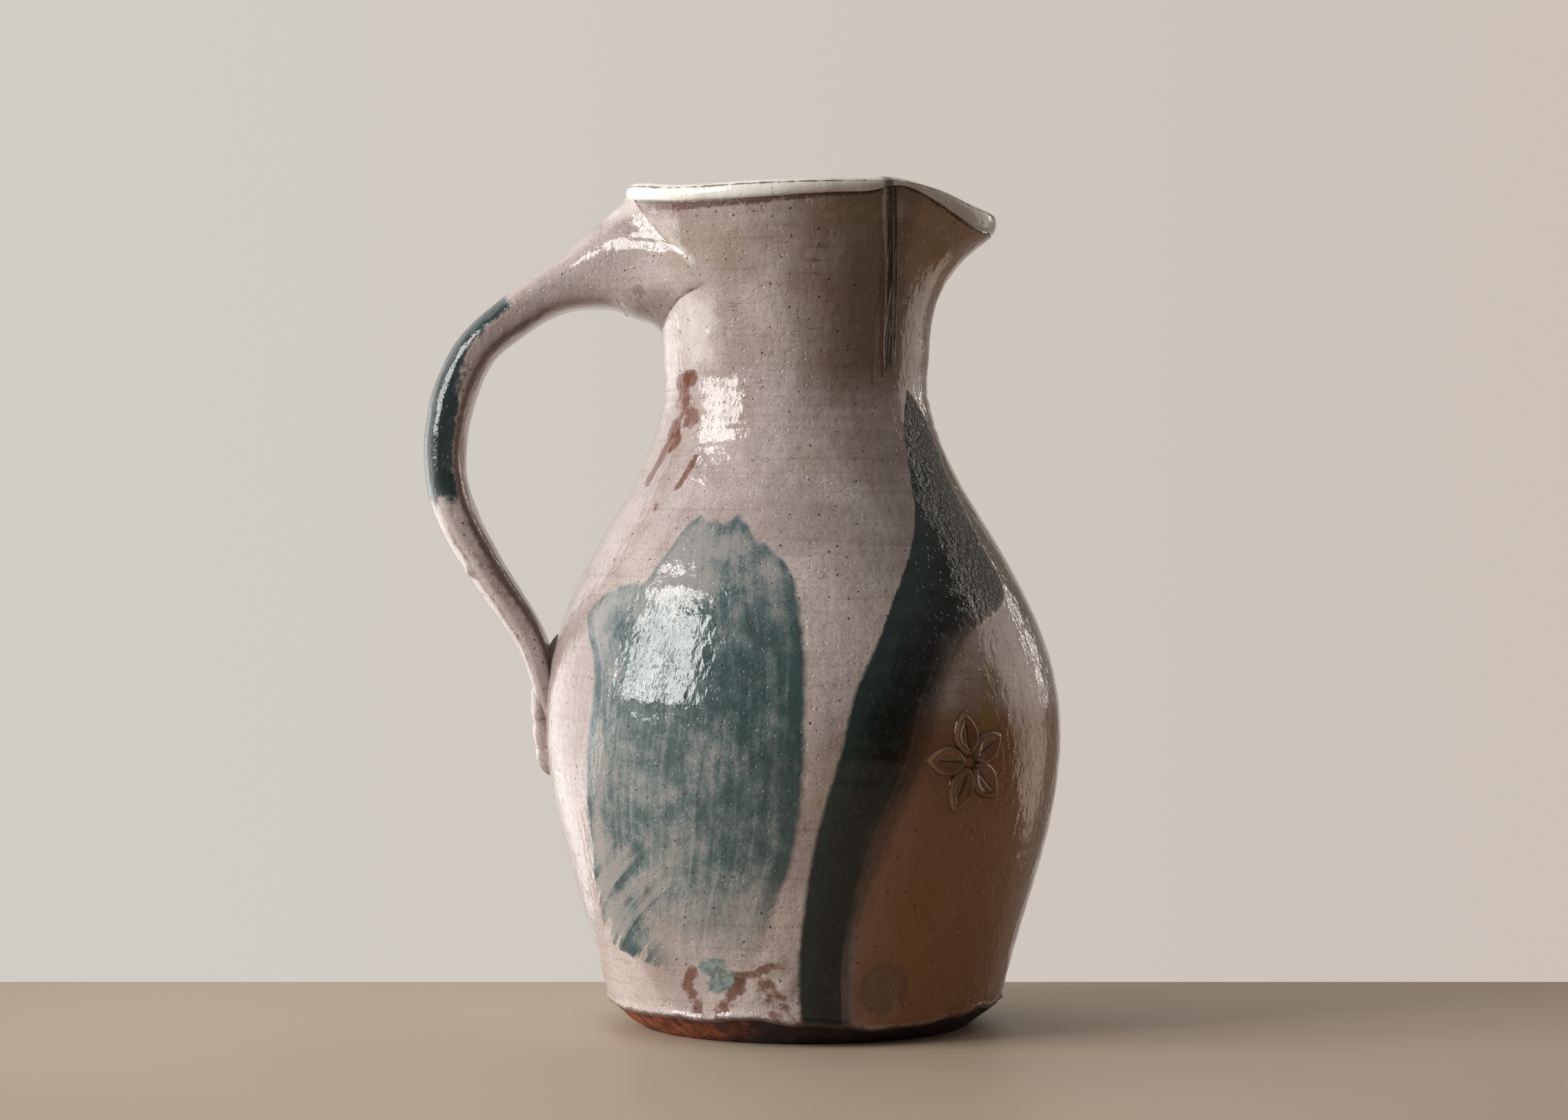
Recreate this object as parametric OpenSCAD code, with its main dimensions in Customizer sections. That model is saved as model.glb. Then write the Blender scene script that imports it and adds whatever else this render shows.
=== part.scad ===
// Hand-thrown stoneware pitcher: a thrown belly, a collar neck luted on top of it, a cut pouring
// spout, a rolled rim, a pulled strap handle and the pads of clay that hold the joins.
// Origin at the centre of the flat foot, +Z up, +X towards the spout, -X towards the handle.

/* [Foot] */
// Radius of the flat foot
foot_radius = 52; // [48:1:56]
// Radius at the top edge of the bare bevel
bevel_radius = 63.7; // [61:0.1:66]
// Height of the bare bevel
bevel_height = 7.2; // [6:0.1:9]
// Thickness of the base
base_thickness = 8; // [6:0.5:10]

/* [Belly] */
// Largest radius of the belly
belly_radius = 83.8; // [80:0.1:87]
// Height of the widest point
belly_height = 97; // [92:1:102]
// Radius where the shoulder is steepest
shoulder_radius = 61.5; // [59:0.5:64]
// Height where the shoulder is steepest
shoulder_height = 160; // [156:1:164]
// Thickness of the thrown wall
wall = 5; // [4:0.5:5.5]

/* [Neck] */
// Height of the join between belly and neck
collar_height = 202.7; // [198:0.1:205]
// Narrowest radius of the neck
neck_radius = 43; // [41:0.5:46]
// Height of the narrowest point
neck_height = 209; // [207:1:212]
// Radius at the top of the neck's wall
mouth_radius = 54.5; // [52:0.1:57]
// Height of the top of the neck's wall
mouth_height = 264; // [259:0.5:266]
// Radius of the rim's roll in section
roll_radius = 3.4; // [3:0.1:3.8]

/* [Spout] */
// Half the angle that the spout spans
spout_half_angle = 57; // [50:1:60]
// How far the lip reaches past the rim
spout_reach = 7; // [5:0.5:10]
// How far the lip droops below the rim
spout_droop = 9; // [4:0.5:11]
// How late the spout's wall turns outwards
spout_curl = 4.5; // [4:0.5:7]

/* [Handle] */
// Width of the strap at its outermost bend
strap_width = 25; // [20:1:30]
// Width of the strap where it meets the neck
root_width = 40; // [34:1:44]
// How square the strap's section is
strap_squareness = 2.4; // [2:0.1:3]

/* [Applied clay] */
// Angle of the flower round the belly, from the spout
flower_angle = -53; // [-60:0.5:-45]
// Height of the flower's centre
flower_height = 87; // [80:1:96]
// Number of petals
petal_count = 5; // [4:1:6]
// Direction of the first petal, upwards from the level
petal_turn = 31; // [0:1:72]
// Length of one petal
petal_length = 15; // [11:0.5:16]
// Greatest width of one petal
petal_width = 11; // [7:0.5:12]
// How far the petals stand proud
petal_relief = 1.5; // [1:0.1:2]
// Distance from the flower's centre to the inner tip of each petal
petal_gap = 1.7; // [1.2:0.1:3]

/* [Hidden] */

glaze_grey = [0.66, 0.60, 0.57];
glaze_cream = [0.84, 0.81, 0.74];
glaze_brown = [0.47, 0.38, 0.32];
round_steps = 180;
profile_step = 5;
wall_steps = 13;
lip_steps = 12;
spout_steps = 24;
strap_sides = 24;
strap_spacing = 0.34;
strap_end = 13.9;
pad_sides = 28;
pad_rings = 5;
pad_root = 2;
pad_sunk_edge = 0.6;
drop_fullness = 0.65;

// How much higher the belly's inner top edge stands than its outer one
collar_rise = 2.5;
// Height of the curve between the floor and the wall inside
floor_blend = 14;

// The strip over each join between neck and spout
seam_angle = 54.5;
seam_middle = 232;
seam_half_width = 4.6;
seam_half_height = 27;
seam_relief = 1.3;

// The clay smeared round the handle's root
root_pad_middle = 240;
root_pad_half_width = 38;
root_pad_half_height = 20;
root_pad_relief = 5;

// The pinched tail below the handle
tail_bottom = 78;
tail_length = 37;
tail_width = 25;
tail_relief = 7;

// Outer wall as [height, radius, slope] at the few places that shape it
wall_knots = [
    [bevel_height, bevel_radius, 0.22],
    [belly_height, belly_radius, 0],
    [shoulder_height, shoulder_radius, -0.61],
    [neck_height, neck_radius, 0],
    [mouth_height, mouth_radius, 0.42]
];

// Middle line of the handle as [x, z, thickness, width], from inside the neck to inside the belly
handle_knots = [
    [-41, 244, 37, root_width + 1],
    [-50, 244, 37.5, root_width],
    [-60, 243, 31, root_width - 4],
    [-69, 240, 22, strap_width + 6],
    [-80, 235.5, 16, strap_width + 2],
    [-92, 227.5, 12.8, strap_width],
    [-103, 218.5, 12.6, strap_width],
    [-111.5, 203.5, 13.2, strap_width],
    [-115.2, 186.5, 12.8, strap_width],
    [-112.8, 169, 12.2, strap_width],
    [-105.6, 152.5, 11, strap_width],
    [-95.2, 136, 10, strap_width - 1],
    [-87.2, 121.5, 9.6, strap_width - 2],
    [-82.8, 108, 9.4, strap_width - 4],
    [-78.5, 95, 8, strap_width - 7]
];

/* Wall of the vessel */

function hermite(t, a, b, slope_a, slope_b) =
    (2 * t^3 - 3 * t^2 + 1) * a + (t^3 - 2 * t^2 + t) * slope_a
    + (3 * t^2 - 2 * t^3) * b + (t^3 - t^2) * slope_b;

function knot_below(z, i = 0) =
    i >= len(wall_knots) - 2 || z < wall_knots[i + 1][0] ? i : knot_below(z, i + 1);

function radius_at(z) =
    let (low = wall_knots[knot_below(z)], high = wall_knots[knot_below(z) + 1], rise = high[0] - low[0])
    hermite((z - low[0]) / rise, low[1], high[1], low[2] * rise, high[2] * rise);

// Point one wall thickness inside the outer line that runs upwards through p to q
function inset(p, q) =
    let (run = q - p)
    p - wall * [run[1], -run[0]] / norm(run);

function outer_point(z) = [radius_at(z), z];
function inner_point(z) = inset(outer_point(z), outer_point(z + 0.1));

// Outer and inner line of the neck, bent outwards by fan (0 for the plain neck, 1 at the lip's tip)
function neck_outer(u, fan = 0) =
    let (z = collar_height + u * (mouth_height - collar_height))
    [radius_at(z) + spout_reach * fan * u^spout_curl, z - spout_droop * fan * u];
function neck_inner(u, fan = 0) = inset(neck_outer(u, fan), neck_outer(u + 0.001, fan));

function neck_share(z) = (z - collar_height) / (mouth_height - collar_height);
function outer_shares() = [for (i = [0:wall_steps]) i / wall_steps];
function inner_shares() =
    let (first = neck_share(inside_top))
    [for (i = [wall_steps:-1:0]) first + (1 - first) * i / wall_steps];

// Round edge of radius r that closes a wall from its outer corner p over to its inner corner q
function round_edge(p, q, r) =
    let (half = norm(p - q) / 2, across = (p - q) / norm(p - q))
    let (centre = (p + q) / 2 + sqrt(r^2 - half^2) * [-across[1], across[0]])
    let (start = atan2(p[1] - centre[1], p[0] - centre[0]), sweep = 360 - 2 * asin(half / r))
    [
        for (i = [1:lip_steps - 1])
        let (a = start + sweep * i / lip_steps)
        centre + r * [cos(a), sin(a)]
    ];

flower_radius = radius_at(flower_height);
inside_top = collar_height + collar_rise;
inside_bottom = base_thickness + floor_blend;
belly_outline = [for (z = [bevel_height:profile_step:collar_height - 1]) outer_point(z)];
belly_inside = [for (z = [inside_top:-profile_step:inside_bottom]) inner_point(z)];
floor_corner = belly_inside[len(belly_inside) - 1];
floor_rise = floor_corner[1] - base_thickness;
floor_curve = [
    for (a = [15:15:90])
    [floor_corner[0] - floor_blend * (1 - cos(a)), base_thickness + floor_rise * (1 - sin(a))]
];
neck_outline = [for (u = outer_shares()) neck_outer(u)];
neck_inside = [for (u = inner_shares()) neck_inner(u)];
roll_edge = round_edge(neck_outer(1), neck_inner(1), roll_radius);

module belly() {
    color(glaze_grey)
    rotate_extrude($fn = round_steps)
    polygon(concat(
        [[0, 0], [foot_radius, 0]], belly_outline, [neck_outer(0)],
        belly_inside, floor_curve, [[0, base_thickness]]
    ));
}

module around_neck() {
    rotate_extrude(angle = 360 - 2 * spout_half_angle, start = spout_half_angle, $fn = round_steps)
    children();
}

module neck() {
    color(glaze_grey)
    around_neck()
    polygon(concat(neck_outline, neck_inside));
}

module rim_roll() {
    color(glaze_cream)
    around_neck()
    polygon(concat([neck_outer(1)], roll_edge, [neck_inner(1)]));
}

// The vessel with nothing hollowed out, which trims whatever is luted onto it
module filled_vessel() {
    rotate_extrude($fn = round_steps)
    polygon(concat(
        [[0, 0], [foot_radius, 0]], belly_outline, neck_outline,
        roll_edge, [neck_inner(1), [0, mouth_height]]
    ));
}

/* Skins between loops of points */

function side_faces(loops, sides) = [
    for (i = [0:loops - 2], j = [0:sides - 1])
    let (a = i * sides + j, b = i * sides + (j + 1) % sides)
    each [[a, a + sides, b], [b, a + sides, b + sides]]
];

// Skin with a flat face at each end
module flat_ended_skin(loops) {
    sides = len(loops[0]);
    last = (len(loops) - 1) * sides;
    ends = [[for (j = [0:sides - 1]) j], [for (j = [sides - 1:-1:0]) last + j]];
    polyhedron([for (loop = loops) each loop], concat(side_faces(len(loops), sides), ends), convexity = 6);
}

// Skin with a fan of triangles at each end, for end loops that aren't flat
module fan_ended_skin(loops) {
    sides = len(loops[0]);
    last = (len(loops) - 1) * sides;
    tips = len(loops) * sides;
    start = [for (j = [0:sides - 1]) [tips, j, (j + 1) % sides]];
    end = [for (j = [0:sides - 1]) [tips + 1, last + (j + 1) % sides, last + j]];
    points = [for (loop = loops) each loop];
    centres = [for (loop = [loops[0], loops[len(loops) - 1]]) centre_of(loop)];
    polyhedron(concat(points, centres), concat(side_faces(len(loops), sides), start, end), convexity = 6);
}

function centre_of(loop, i = 0, sum = [0, 0, 0]) =
    i == len(loop) ? sum / len(loop) : centre_of(loop, i + 1, sum + loop[i]);

/* Spout */

function fan_at(angle) = abs(angle) < spout_half_angle ? cos(90 * angle / spout_half_angle)^3 : 0;

function turned(p, angle) = [p[0] * cos(angle), p[0] * sin(angle), p[1]];

function spout_section(angle) =
    let (fan = fan_at(angle))
    let (outside = [for (u = outer_shares()) neck_outer(u, fan)])
    let (inside = [for (u = inner_shares()) neck_inner(u, fan)])
    let (edge = round_edge(neck_outer(1, fan), neck_inner(1, fan), roll_radius))
    [for (p = concat(outside, edge, inside)) turned(p, angle)];

module spout() {
    angles = [for (i = [spout_steps:-1:0]) spout_half_angle * (2 * i / spout_steps - 1)];
    color(glaze_grey)
    flat_ended_skin([for (angle = angles) spout_section(angle)]);
}

/* Pads of clay pressed onto the wall */

function ellipse_outline(half_arc, half_height) = [
    for (j = [0:pad_sides - 1])
    let (a = 360 * j / pad_sides)
    [half_arc * cos(a), half_height * sin(a)]
];

// A drop with its point at the origin and its round end at distance length along direction
function drop_outline(length, width, direction) = [
    for (j = [0:pad_sides - 1])
    let (a = 360 * j / pad_sides)
    let (along = length * (1 - cos(a)) / 2, across = -width * drop_fullness * sin(a) * sin(a / 2))
    [along * cos(direction) - across * sin(direction), along * sin(direction) + across * cos(direction)]
];

// Loops of a pad whose outline is unrolled round [angle, height] and whose middle stands relief proud
function pad_loops(angle, height, outline, relief) =
    let (middle = centre_of([for (p = outline) [p[0], p[1], 0]]))
    let (centre = [middle[0], middle[1]])
    [
        for (k = [-1:pad_rings - 1])
        let (share = k < 0 ? 1 : 1 - k / pad_rings)
        let (proud = k < 0 ? -pad_root : relief - (relief + pad_sunk_edge) * share^3)
        [
            for (p = outline)
            let (spot = centre + (p - centre) * share, z = height + spot[1])
            turned([radius_at(z) + proud, z], angle + spot[0] / radius_at(height) * 180 / PI)
        ]
    ];

module pad(angle, height, outline, relief) {
    difference() {
        fan_ended_skin(pad_loops(angle, height, outline, relief));
        filled_vessel();
    }
}

// The spout's edge and the neck beside it, filled in to the middle, which trims the strip along their join
module seam_bed(side) {
    half = spout_steps / 2;
    on_spout = [for (i = [half / 2:half]) spout_half_angle * i / half];
    on_neck = [for (a = [1:half]) spout_half_angle + a];
    angles = concat(on_spout, on_neck);
    last = len(angles) - 1;
    core = neck_radius / 2;
    sections = [
        for (i = [0:last])
        let (angle = side > 0 ? angles[last - i] : -angles[i])
        let (outside = [for (u = outer_shares()) neck_outer(u, fan_at(angle))])
        [for (p = concat(outside, [[core, mouth_height], [core, collar_height]])) turned(p, angle)]
    ];
    flat_ended_skin(sections);
}

module spout_seams() {
    seam_outline = ellipse_outline(seam_half_width, seam_half_height);
    color(glaze_brown)
    for (side = [-1, 1])
    difference() {
        fan_ended_skin(pad_loops(side * seam_angle, seam_middle, seam_outline, seam_relief));
        seam_bed(side);
    }
}

function petal_direction(i) = petal_turn + 360 * i / petal_count;

module flower_petals() {
    color(glaze_brown)
    for (i = [0:petal_count - 1])
    pad(
        flower_angle + petal_gap / flower_radius * cos(petal_direction(i)) * 180 / PI,
        flower_height + petal_gap * sin(petal_direction(i)),
        drop_outline(petal_length, petal_width, petal_direction(i)),
        petal_relief
    );
}

/* Handle */

function along_knots(t) =
    let (last = len(handle_knots) - 1, i = min(floor(t), last - 1))
    let (b = handle_knots[i], c = handle_knots[i + 1])
    let (a = i == 0 ? 2 * b - c : handle_knots[i - 1])
    let (d = i == last - 1 ? 2 * c - b : handle_knots[i + 2])
    [for (k = [0:3]) hermite(t - i, b[k], c[k], (c[k] - a[k]) / 2, (d[k] - b[k]) / 2)];

function power(x, e) = sign(x) * abs(x)^e;

function strap_loop(t) =
    let (here = along_knots(t), next = along_knots(t + 0.01), run = [next[0] - here[0], next[1] - here[1]])
    let (outward = [run[1], -run[0]] / norm(run))
    [
        for (j = [0:strap_sides - 1])
        let (a = 360 * j / strap_sides)
        let (depth = here[2] / 2 * power(cos(a), 2 / strap_squareness))
        let (across = here[3] / 2 * power(sin(a), 2 / strap_squareness))
        [here[0] + outward[0] * depth, across, here[1] + outward[1] * depth]
    ];

module strap() {
    flat_ended_skin([for (t = [0:strap_spacing:strap_end]) strap_loop(t)]);
}

module handle() {
    color(glaze_grey)
    difference() {
        strap();
        filled_vessel();
    }
}

module handle_root_pad() {
    root_outline = ellipse_outline(root_pad_half_width, root_pad_half_height);
    color(glaze_grey)
    difference() {
        pad(180, root_pad_middle, root_outline, root_pad_relief);
        strap();
    }
}

module handle_tail() {
    color(glaze_brown)
    difference() {
        pad(180, tail_bottom, drop_outline(tail_length, tail_width, 90), tail_relief);
        strap();
    }
}

belly();
neck();
rim_roll();
spout();
spout_seams();
handle();
handle_root_pad();
handle_tail();
flower_petals();
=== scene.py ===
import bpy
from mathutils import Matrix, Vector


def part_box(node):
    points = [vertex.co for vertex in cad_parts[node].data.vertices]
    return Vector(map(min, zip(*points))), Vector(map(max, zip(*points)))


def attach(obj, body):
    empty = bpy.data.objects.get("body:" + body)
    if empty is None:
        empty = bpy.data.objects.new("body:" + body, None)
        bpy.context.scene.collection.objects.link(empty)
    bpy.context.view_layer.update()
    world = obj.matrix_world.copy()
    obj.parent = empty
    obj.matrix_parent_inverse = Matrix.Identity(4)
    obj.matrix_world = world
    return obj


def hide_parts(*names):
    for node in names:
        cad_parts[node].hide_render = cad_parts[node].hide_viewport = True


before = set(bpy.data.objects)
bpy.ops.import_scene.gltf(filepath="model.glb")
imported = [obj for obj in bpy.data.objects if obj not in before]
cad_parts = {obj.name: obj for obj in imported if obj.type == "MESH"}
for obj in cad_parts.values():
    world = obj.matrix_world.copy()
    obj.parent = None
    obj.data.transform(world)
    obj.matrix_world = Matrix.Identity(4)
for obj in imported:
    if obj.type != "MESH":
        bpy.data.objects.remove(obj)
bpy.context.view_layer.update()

import math

import bpy
import numpy as np

# The looks of a hand-thrown pitcher, built round the CAD frame. Lengths are millimetres and angles degrees
# until a mesh is made. Angle 0 looks towards the spout, 180 towards the handle, -90 towards the camera.
MM = 0.001


def smooth_line(xs, ys):
    """Natural cubic spline through the points, as a function of x that holds its ends."""
    xs, ys = np.asarray(xs, float), np.asarray(ys, float)
    gaps, last = np.diff(xs), len(xs) - 1
    system, right = np.eye(last + 1), np.zeros(last + 1)
    for i in range(1, last):
        system[i, i - 1 : i + 2] = gaps[i - 1], 2 * (gaps[i - 1] + gaps[i]), gaps[i]
        right[i] = 6 * ((ys[i + 1] - ys[i]) / gaps[i] - (ys[i] - ys[i - 1]) / gaps[i - 1])
    bends = np.linalg.solve(system, right)

    def at(x):
        x = np.clip(x, xs[0], xs[-1])
        i = np.clip(np.searchsorted(xs, x, side="right") - 1, 0, last - 1)
        a = (xs[i + 1] - x) / gaps[i]
        b = 1 - a
        curve = ((a**3 - a) * bends[i] + (b**3 - b) * bends[i + 1]) * gaps[i] ** 2 / 6
        return a * ys[i] + b * ys[i + 1] + curve

    return at


def wrapped(angle):
    return (angle + 180) % 360 - 180


def fade(x, start, end):
    """0 before start and 1 after end, smoothly between."""
    t = np.clip((np.asarray(x, float) - start) / (end - start), 0, 1)
    return t * t * (3 - 2 * t)


def hump(x, middle, width):
    return np.exp(-(((x - middle) / width) ** 2))


def ring(theta, radius=1.0, z=0.0, shift=0.0):
    """Points at these angles round the axis, moved along x by shift."""
    turn = np.radians(theta)
    return np.stack(np.broadcast_arrays(radius * np.cos(turn) + shift, radius * np.sin(turn), z), -1)


def waves(points, size, seed):
    """Smooth random swell at points, about -1 to 1, with lumps about size across."""
    random, count = np.random.default_rng(seed), 20
    ways = random.normal(size=(count, 3))
    ways /= np.linalg.norm(ways, axis=1)[:, None]
    ways *= random.uniform(0.6, 1.4, count)[:, None] * math.pi / size
    turns = random.uniform(0, 2 * math.pi, count)
    return np.sin(np.asarray(points) @ ways.T + turns).sum(-1) / math.sqrt(count)


# ---- The thrown wall, read from the CAD's belly and neck ----


def node_vertices(name):
    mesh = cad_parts[name].data
    points, normals = np.empty(3 * len(mesh.vertices)), np.empty(3 * len(mesh.vertices))
    mesh.vertices.foreach_get("co", points)
    mesh.vertices.foreach_get("normal", normals)
    return points.reshape(-1, 3) / MM, normals.reshape(-1, 3)


def wall_line(side, lowest):
    """Radius of the CAD's wall against height: side 1 is the outer face, -1 the inner one."""
    radii = {}
    for name in ("belly", "neck"):
        points, normals = node_vertices(name)
        radius = np.hypot(points[:, 0], points[:, 1])
        facing = (points[:, :2] * normals[:, :2]).sum(1) / np.maximum(radius, 1) * side
        for z, r in zip(points[:, 2][facing > 0.6], radius[facing > 0.6]):
            radii[round(float(z), 1)] = r
    heights = [z for z in sorted(radii) if z >= lowest]
    kept = heights[:1]
    for z in heights[1:]:
        if z - kept[-1] > 2:
            kept.append(z)
    kept[-1] = heights[-1]
    return smooth_line(kept, [radii[z] for z in kept])


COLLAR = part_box("neck")[0][2] / MM  # where the neck starts
COLLAR_BEVEL = 2.5
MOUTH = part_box("rim_roll")[0][2] / MM + 0.1  # where the rim's roll starts
INNER_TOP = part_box("neck")[1][2] / MM
BEVEL_TOP = 7.2
FOOT_RADIUS = 52.0
FLOOR_LEVEL = 8.0
FLOOR_BLEND = 14.0
GUARD = 0.9  # how far inside the CAD's wall the visual one stays, so that its ripples don't pass it
outer_radius = wall_line(1, BEVEL_TOP)
inner_radius = wall_line(-1, FLOOR_LEVEL + FLOOR_BLEND)
lean_x = smooth_line([0, 60, 100, 135, 190, 270], [1.3, 1.3, 0.5, -0.4, -1.3, -1.2])

SPOUT_HALF = 57.0  # degrees from the spout's middle to its joins
SPOUT_REACH = 9.8
SPOUT_CURL = 4.5
RIM_ANGLES = [0, 10, 21, 31, 40, 49, 57, 62, 75, 90, 108, 126, 141, 160, 180]
wall_top = smooth_line(
    RIM_ANGLES, [252.6, 253, 254.7, 258.7, 262.3, 264.9, 264.7, 263.3, 262, 261, 259.9, 259.8, 260.3, 262, 263.2]
)
rim_height = smooth_line(RIM_ANGLES, [6.9, 6.8, 6.5, 5.4, 3.6, 2.0, 2.4, 3.5, 4.3, 5.0, 5.6, 5.9, 6.0, 6.2, 6.3])
far_side_lift = smooth_line([-180, 0, 20, 57, 90, 126, 160, 180], [0, 0, 0.4, 1.8, 3.5, 3.5, 1.2, 0])


def fan(theta):
    """How far the wall at this angle bends out into the spout, 1 at its middle."""
    near = np.minimum(np.abs(wrapped(theta)), SPOUT_HALF) / SPOUT_HALF
    return np.where(near < 1, np.cos(np.radians(90 * near)) ** 3, 0)


def sag(theta, rise):
    """How far the wall at this angle stands above its level height: the lip droops and the rim isn't level."""
    theta = wrapped(theta)
    return (wall_top(np.abs(theta)) + far_side_lift(theta) - MOUTH) * rise**1.5


# Level grooves in the neck: height, width, depth
RING_GROOVES = [(201.0, 0.7, 0.35), (196.5, 1.0, 0.16), (191.5, 0.8, 0.28), (186.0, 1.1, 0.12), (172, 1.2, 0.1)]
# Bumps and dents low on the wall: angle, height, width, how proud
FINGER_MARKS = [(-68.0, 19.0, 6.5, -0.55), (-63.5, 12.6, 2.6, 0.9), (-99, 26, 5, 0.4), (-95, 19.5, 4, 0.45)]


def wander(theta, z):
    """How far the hand-thrown wall stands out from the plain line."""
    r = outer_radius(z)
    spot = ring(theta, r, z)
    out = 0.3 * waves(spot, 75, 3) + 0.1 * waves(spot, 24, 4) + 0.035 * waves(spot, 7, 5)
    spiral = z + 3.1 * theta / 180 + 0.5 * waves(spot, 60, 6)
    out += 0.07 * np.sin(spiral * 2 * math.pi / 8.5) * (0.6 + 0.4 * waves(spot, 50, 7))
    out += 0.03 * np.sin(spiral * 2 * math.pi / 3.3) * fade(z, 150, 190)
    out += 0.7 * fade(z, 203, 214) * fade(-z, -238, -216)
    for height, width, depth in RING_GROOVES:
        out -= depth * hump(z + 0.4 * waves(spot, 40, 8), height, width)
    for angle, height, width, proud in FINGER_MARKS:
        away = np.hypot(np.radians(wrapped(theta - angle)) * r, z - height)
        out += proud * (hump(away, 0, width * 0.8) - 0.5 * hump(away, width * 1.15, width * 0.25) * np.sign(proud))
    return out


def wall_points(theta, level, radius, highest):
    """Points on a face of the wall. level is the height before the spout's droop and the rim's dip."""
    theta, level = np.broadcast_arrays(np.asarray(theta, float), np.asarray(level, float))
    rise = np.clip((level - COLLAR) / (MOUTH - COLLAR), 0, highest)
    r = radius(theta, level) - GUARD + SPOUT_REACH * fan(theta) * rise**SPOUT_CURL
    return ring(theta, r, level + sag(theta, rise), lean_x(level))


def outer(theta, level):
    """Points on the outer wall, with a narrow channel below the rolled rim."""
    return wall_points(theta, level, lambda t, z: outer_radius(z) + wander(t, z) - 0.5 * hump(z, MOUTH, 1.6), 1)


def inner(theta, level):
    """Points on the inner wall, in step with outer()."""
    return wall_points(theta, level, lambda t, z: inner_radius(z) + 0.6 * wander(t, z), 1.03)


GLAZE_STOP = 7.8


def glaze_edge(theta):
    """Height of the wavy edge where the glaze stops above the bare foot."""
    around = ring(theta, 62)
    dip = 2.4 * hump(wrapped(theta + 70), 0, 24) + 0.7 * hump(wrapped(theta + 150), 0, 14)
    return GLAZE_STOP - dip + 0.7 * waves(around, 28, 21) + 0.4 * waves(around, 7, 22)


# ---- Meshes ----


def grid_quads(rows, columns, join_rows=False, join_columns=False):
    """Faces between neighbouring points of a grid laid out row by row."""
    down = np.arange(rows if join_rows else rows - 1)
    along = np.arange(columns if join_columns else columns - 1)
    r, c = np.meshgrid(down, along, indexing="ij")
    r2, c2 = (r + 1) % rows, (c + 1) % columns
    corners = [r * columns + c, r * columns + c2, r2 * columns + c2, r2 * columns + c]
    return np.stack(corners, -1).reshape(-1, 4)


def close_rows(rows, columns):
    """The two faces that close a tube of rings: its first row and its last."""
    return [list(range(columns)), list(range(rows * columns - 1, (rows - 1) * columns - 1, -1))]


def close_columns(rows, columns):
    """The two faces that close a band whose rows go round: its first column and its last."""
    first = [row * columns for row in range(rows)]
    return [first, [corner + columns - 1 for corner in first][::-1]]


def stacked(rows):
    return np.concatenate([np.asarray(row).reshape(-1, 3) for row in rows])


def make_tube(name, node, material, rows, fields):
    """A piece from rings of points, closed at its first and last."""
    size = np.shape(rows)[:2]
    quads, ends = grid_quads(*size, join_columns=True), close_rows(*size)
    make_piece(name, node, [material], stacked(rows), quads, ends, fields)


def make_band(name, node, materials, rows, fields, material_of=None):
    """A piece from rows of points that go round a section, closed at both ends of the rows."""
    size = np.shape(rows)[:2]
    quads, ends = grid_quads(*size, join_rows=True), close_columns(*size)
    make_piece(name, node, materials, stacked(rows), quads, ends, fields, material_of)


def make_piece(name, node, materials, points, quads, others, fields, material_of=None):
    """Turns points in mm into a named mesh that stands for a CAD node."""
    a, b, c, d = (points[quads[:, i]] - points.mean(0) for i in range(4))
    faces = quads.tolist() + others
    if ((np.cross(b - a, c - a) + np.cross(c - a, d - a)) * a).sum() < 0:
        faces = [face[::-1] for face in faces]
    mesh = bpy.data.meshes.new(name)
    mesh.from_pydata((points * MM).tolist(), [], faces)
    for key, values in fields.items():
        mesh.attributes.new(key, "FLOAT", "POINT").data.foreach_set("value", np.asarray(values, float).reshape(-1))
    for material in materials:
        mesh.materials.append(material)
    if material_of is not None:
        mesh.polygons.foreach_set("material_index", np.asarray(material_of, int))
    mesh.shade_smooth()
    mesh.set_sharp_from_angle(angle=math.radians(38))
    mesh.validate()
    piece = bpy.data.objects.new(name, mesh)
    bpy.context.scene.collection.objects.link(piece)
    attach(piece, "root")
    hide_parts(node)


# ---- Painted strokes, as fields that the glaze's material reads ----

PAINT_REACH = 14.0  # the strokes' fields are this much at their edges, and 0 this far outside

leaf_left = smooth_line(
    [8, 32, 47, 60, 80, 95, 112, 120, 132, 140],
    [-156, -154.5, -152.4, -149.3, -146.2, -143.6, -142.4, -145, -152.5, -154],
)
leaf_right = smooth_line(
    [8, 34, 48, 63, 82, 106, 123, 140, 160],
    [-104, -100.6, -95.8, -92.4, -90.3, -89.4, -89.2, -90.5, -92],
)
leaf_bottom = smooth_line([-158, -140, -125, -115, -105, -96], [31, 25, 21, 19, 20, 24])
leaf_top = smooth_line(
    [-160, -153, -148, -136, -131, -126, -114, -105, -97, -91, -86],
    [128, 133, 138, 142.5, 145.5, 157, 160, 160.2, 153.5, 143, 130],
)
stalk_left = smooth_line(
    [8, 29, 41, 58, 77, 92, 110, 117, 129, 145, 162, 185, 196, 202],
    [-92, -92.2, -91.2, -89.2, -85.8, -82.6, -79, -76.3, -70.9, -62.6, -52.3, -43.5, -38, -34],
)
stalk_right = smooth_line(
    [8, 23, 39, 53, 72, 90, 110, 122, 130, 134, 139, 150, 165, 180, 189, 195, 202],
    [-73.5, -75, -74.6, -72.2, -67.1, -61.4, -55.8, -49.5, -41, -33, -27.5, -26.5, -24, -21, -20, -24, -33],
)


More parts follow.
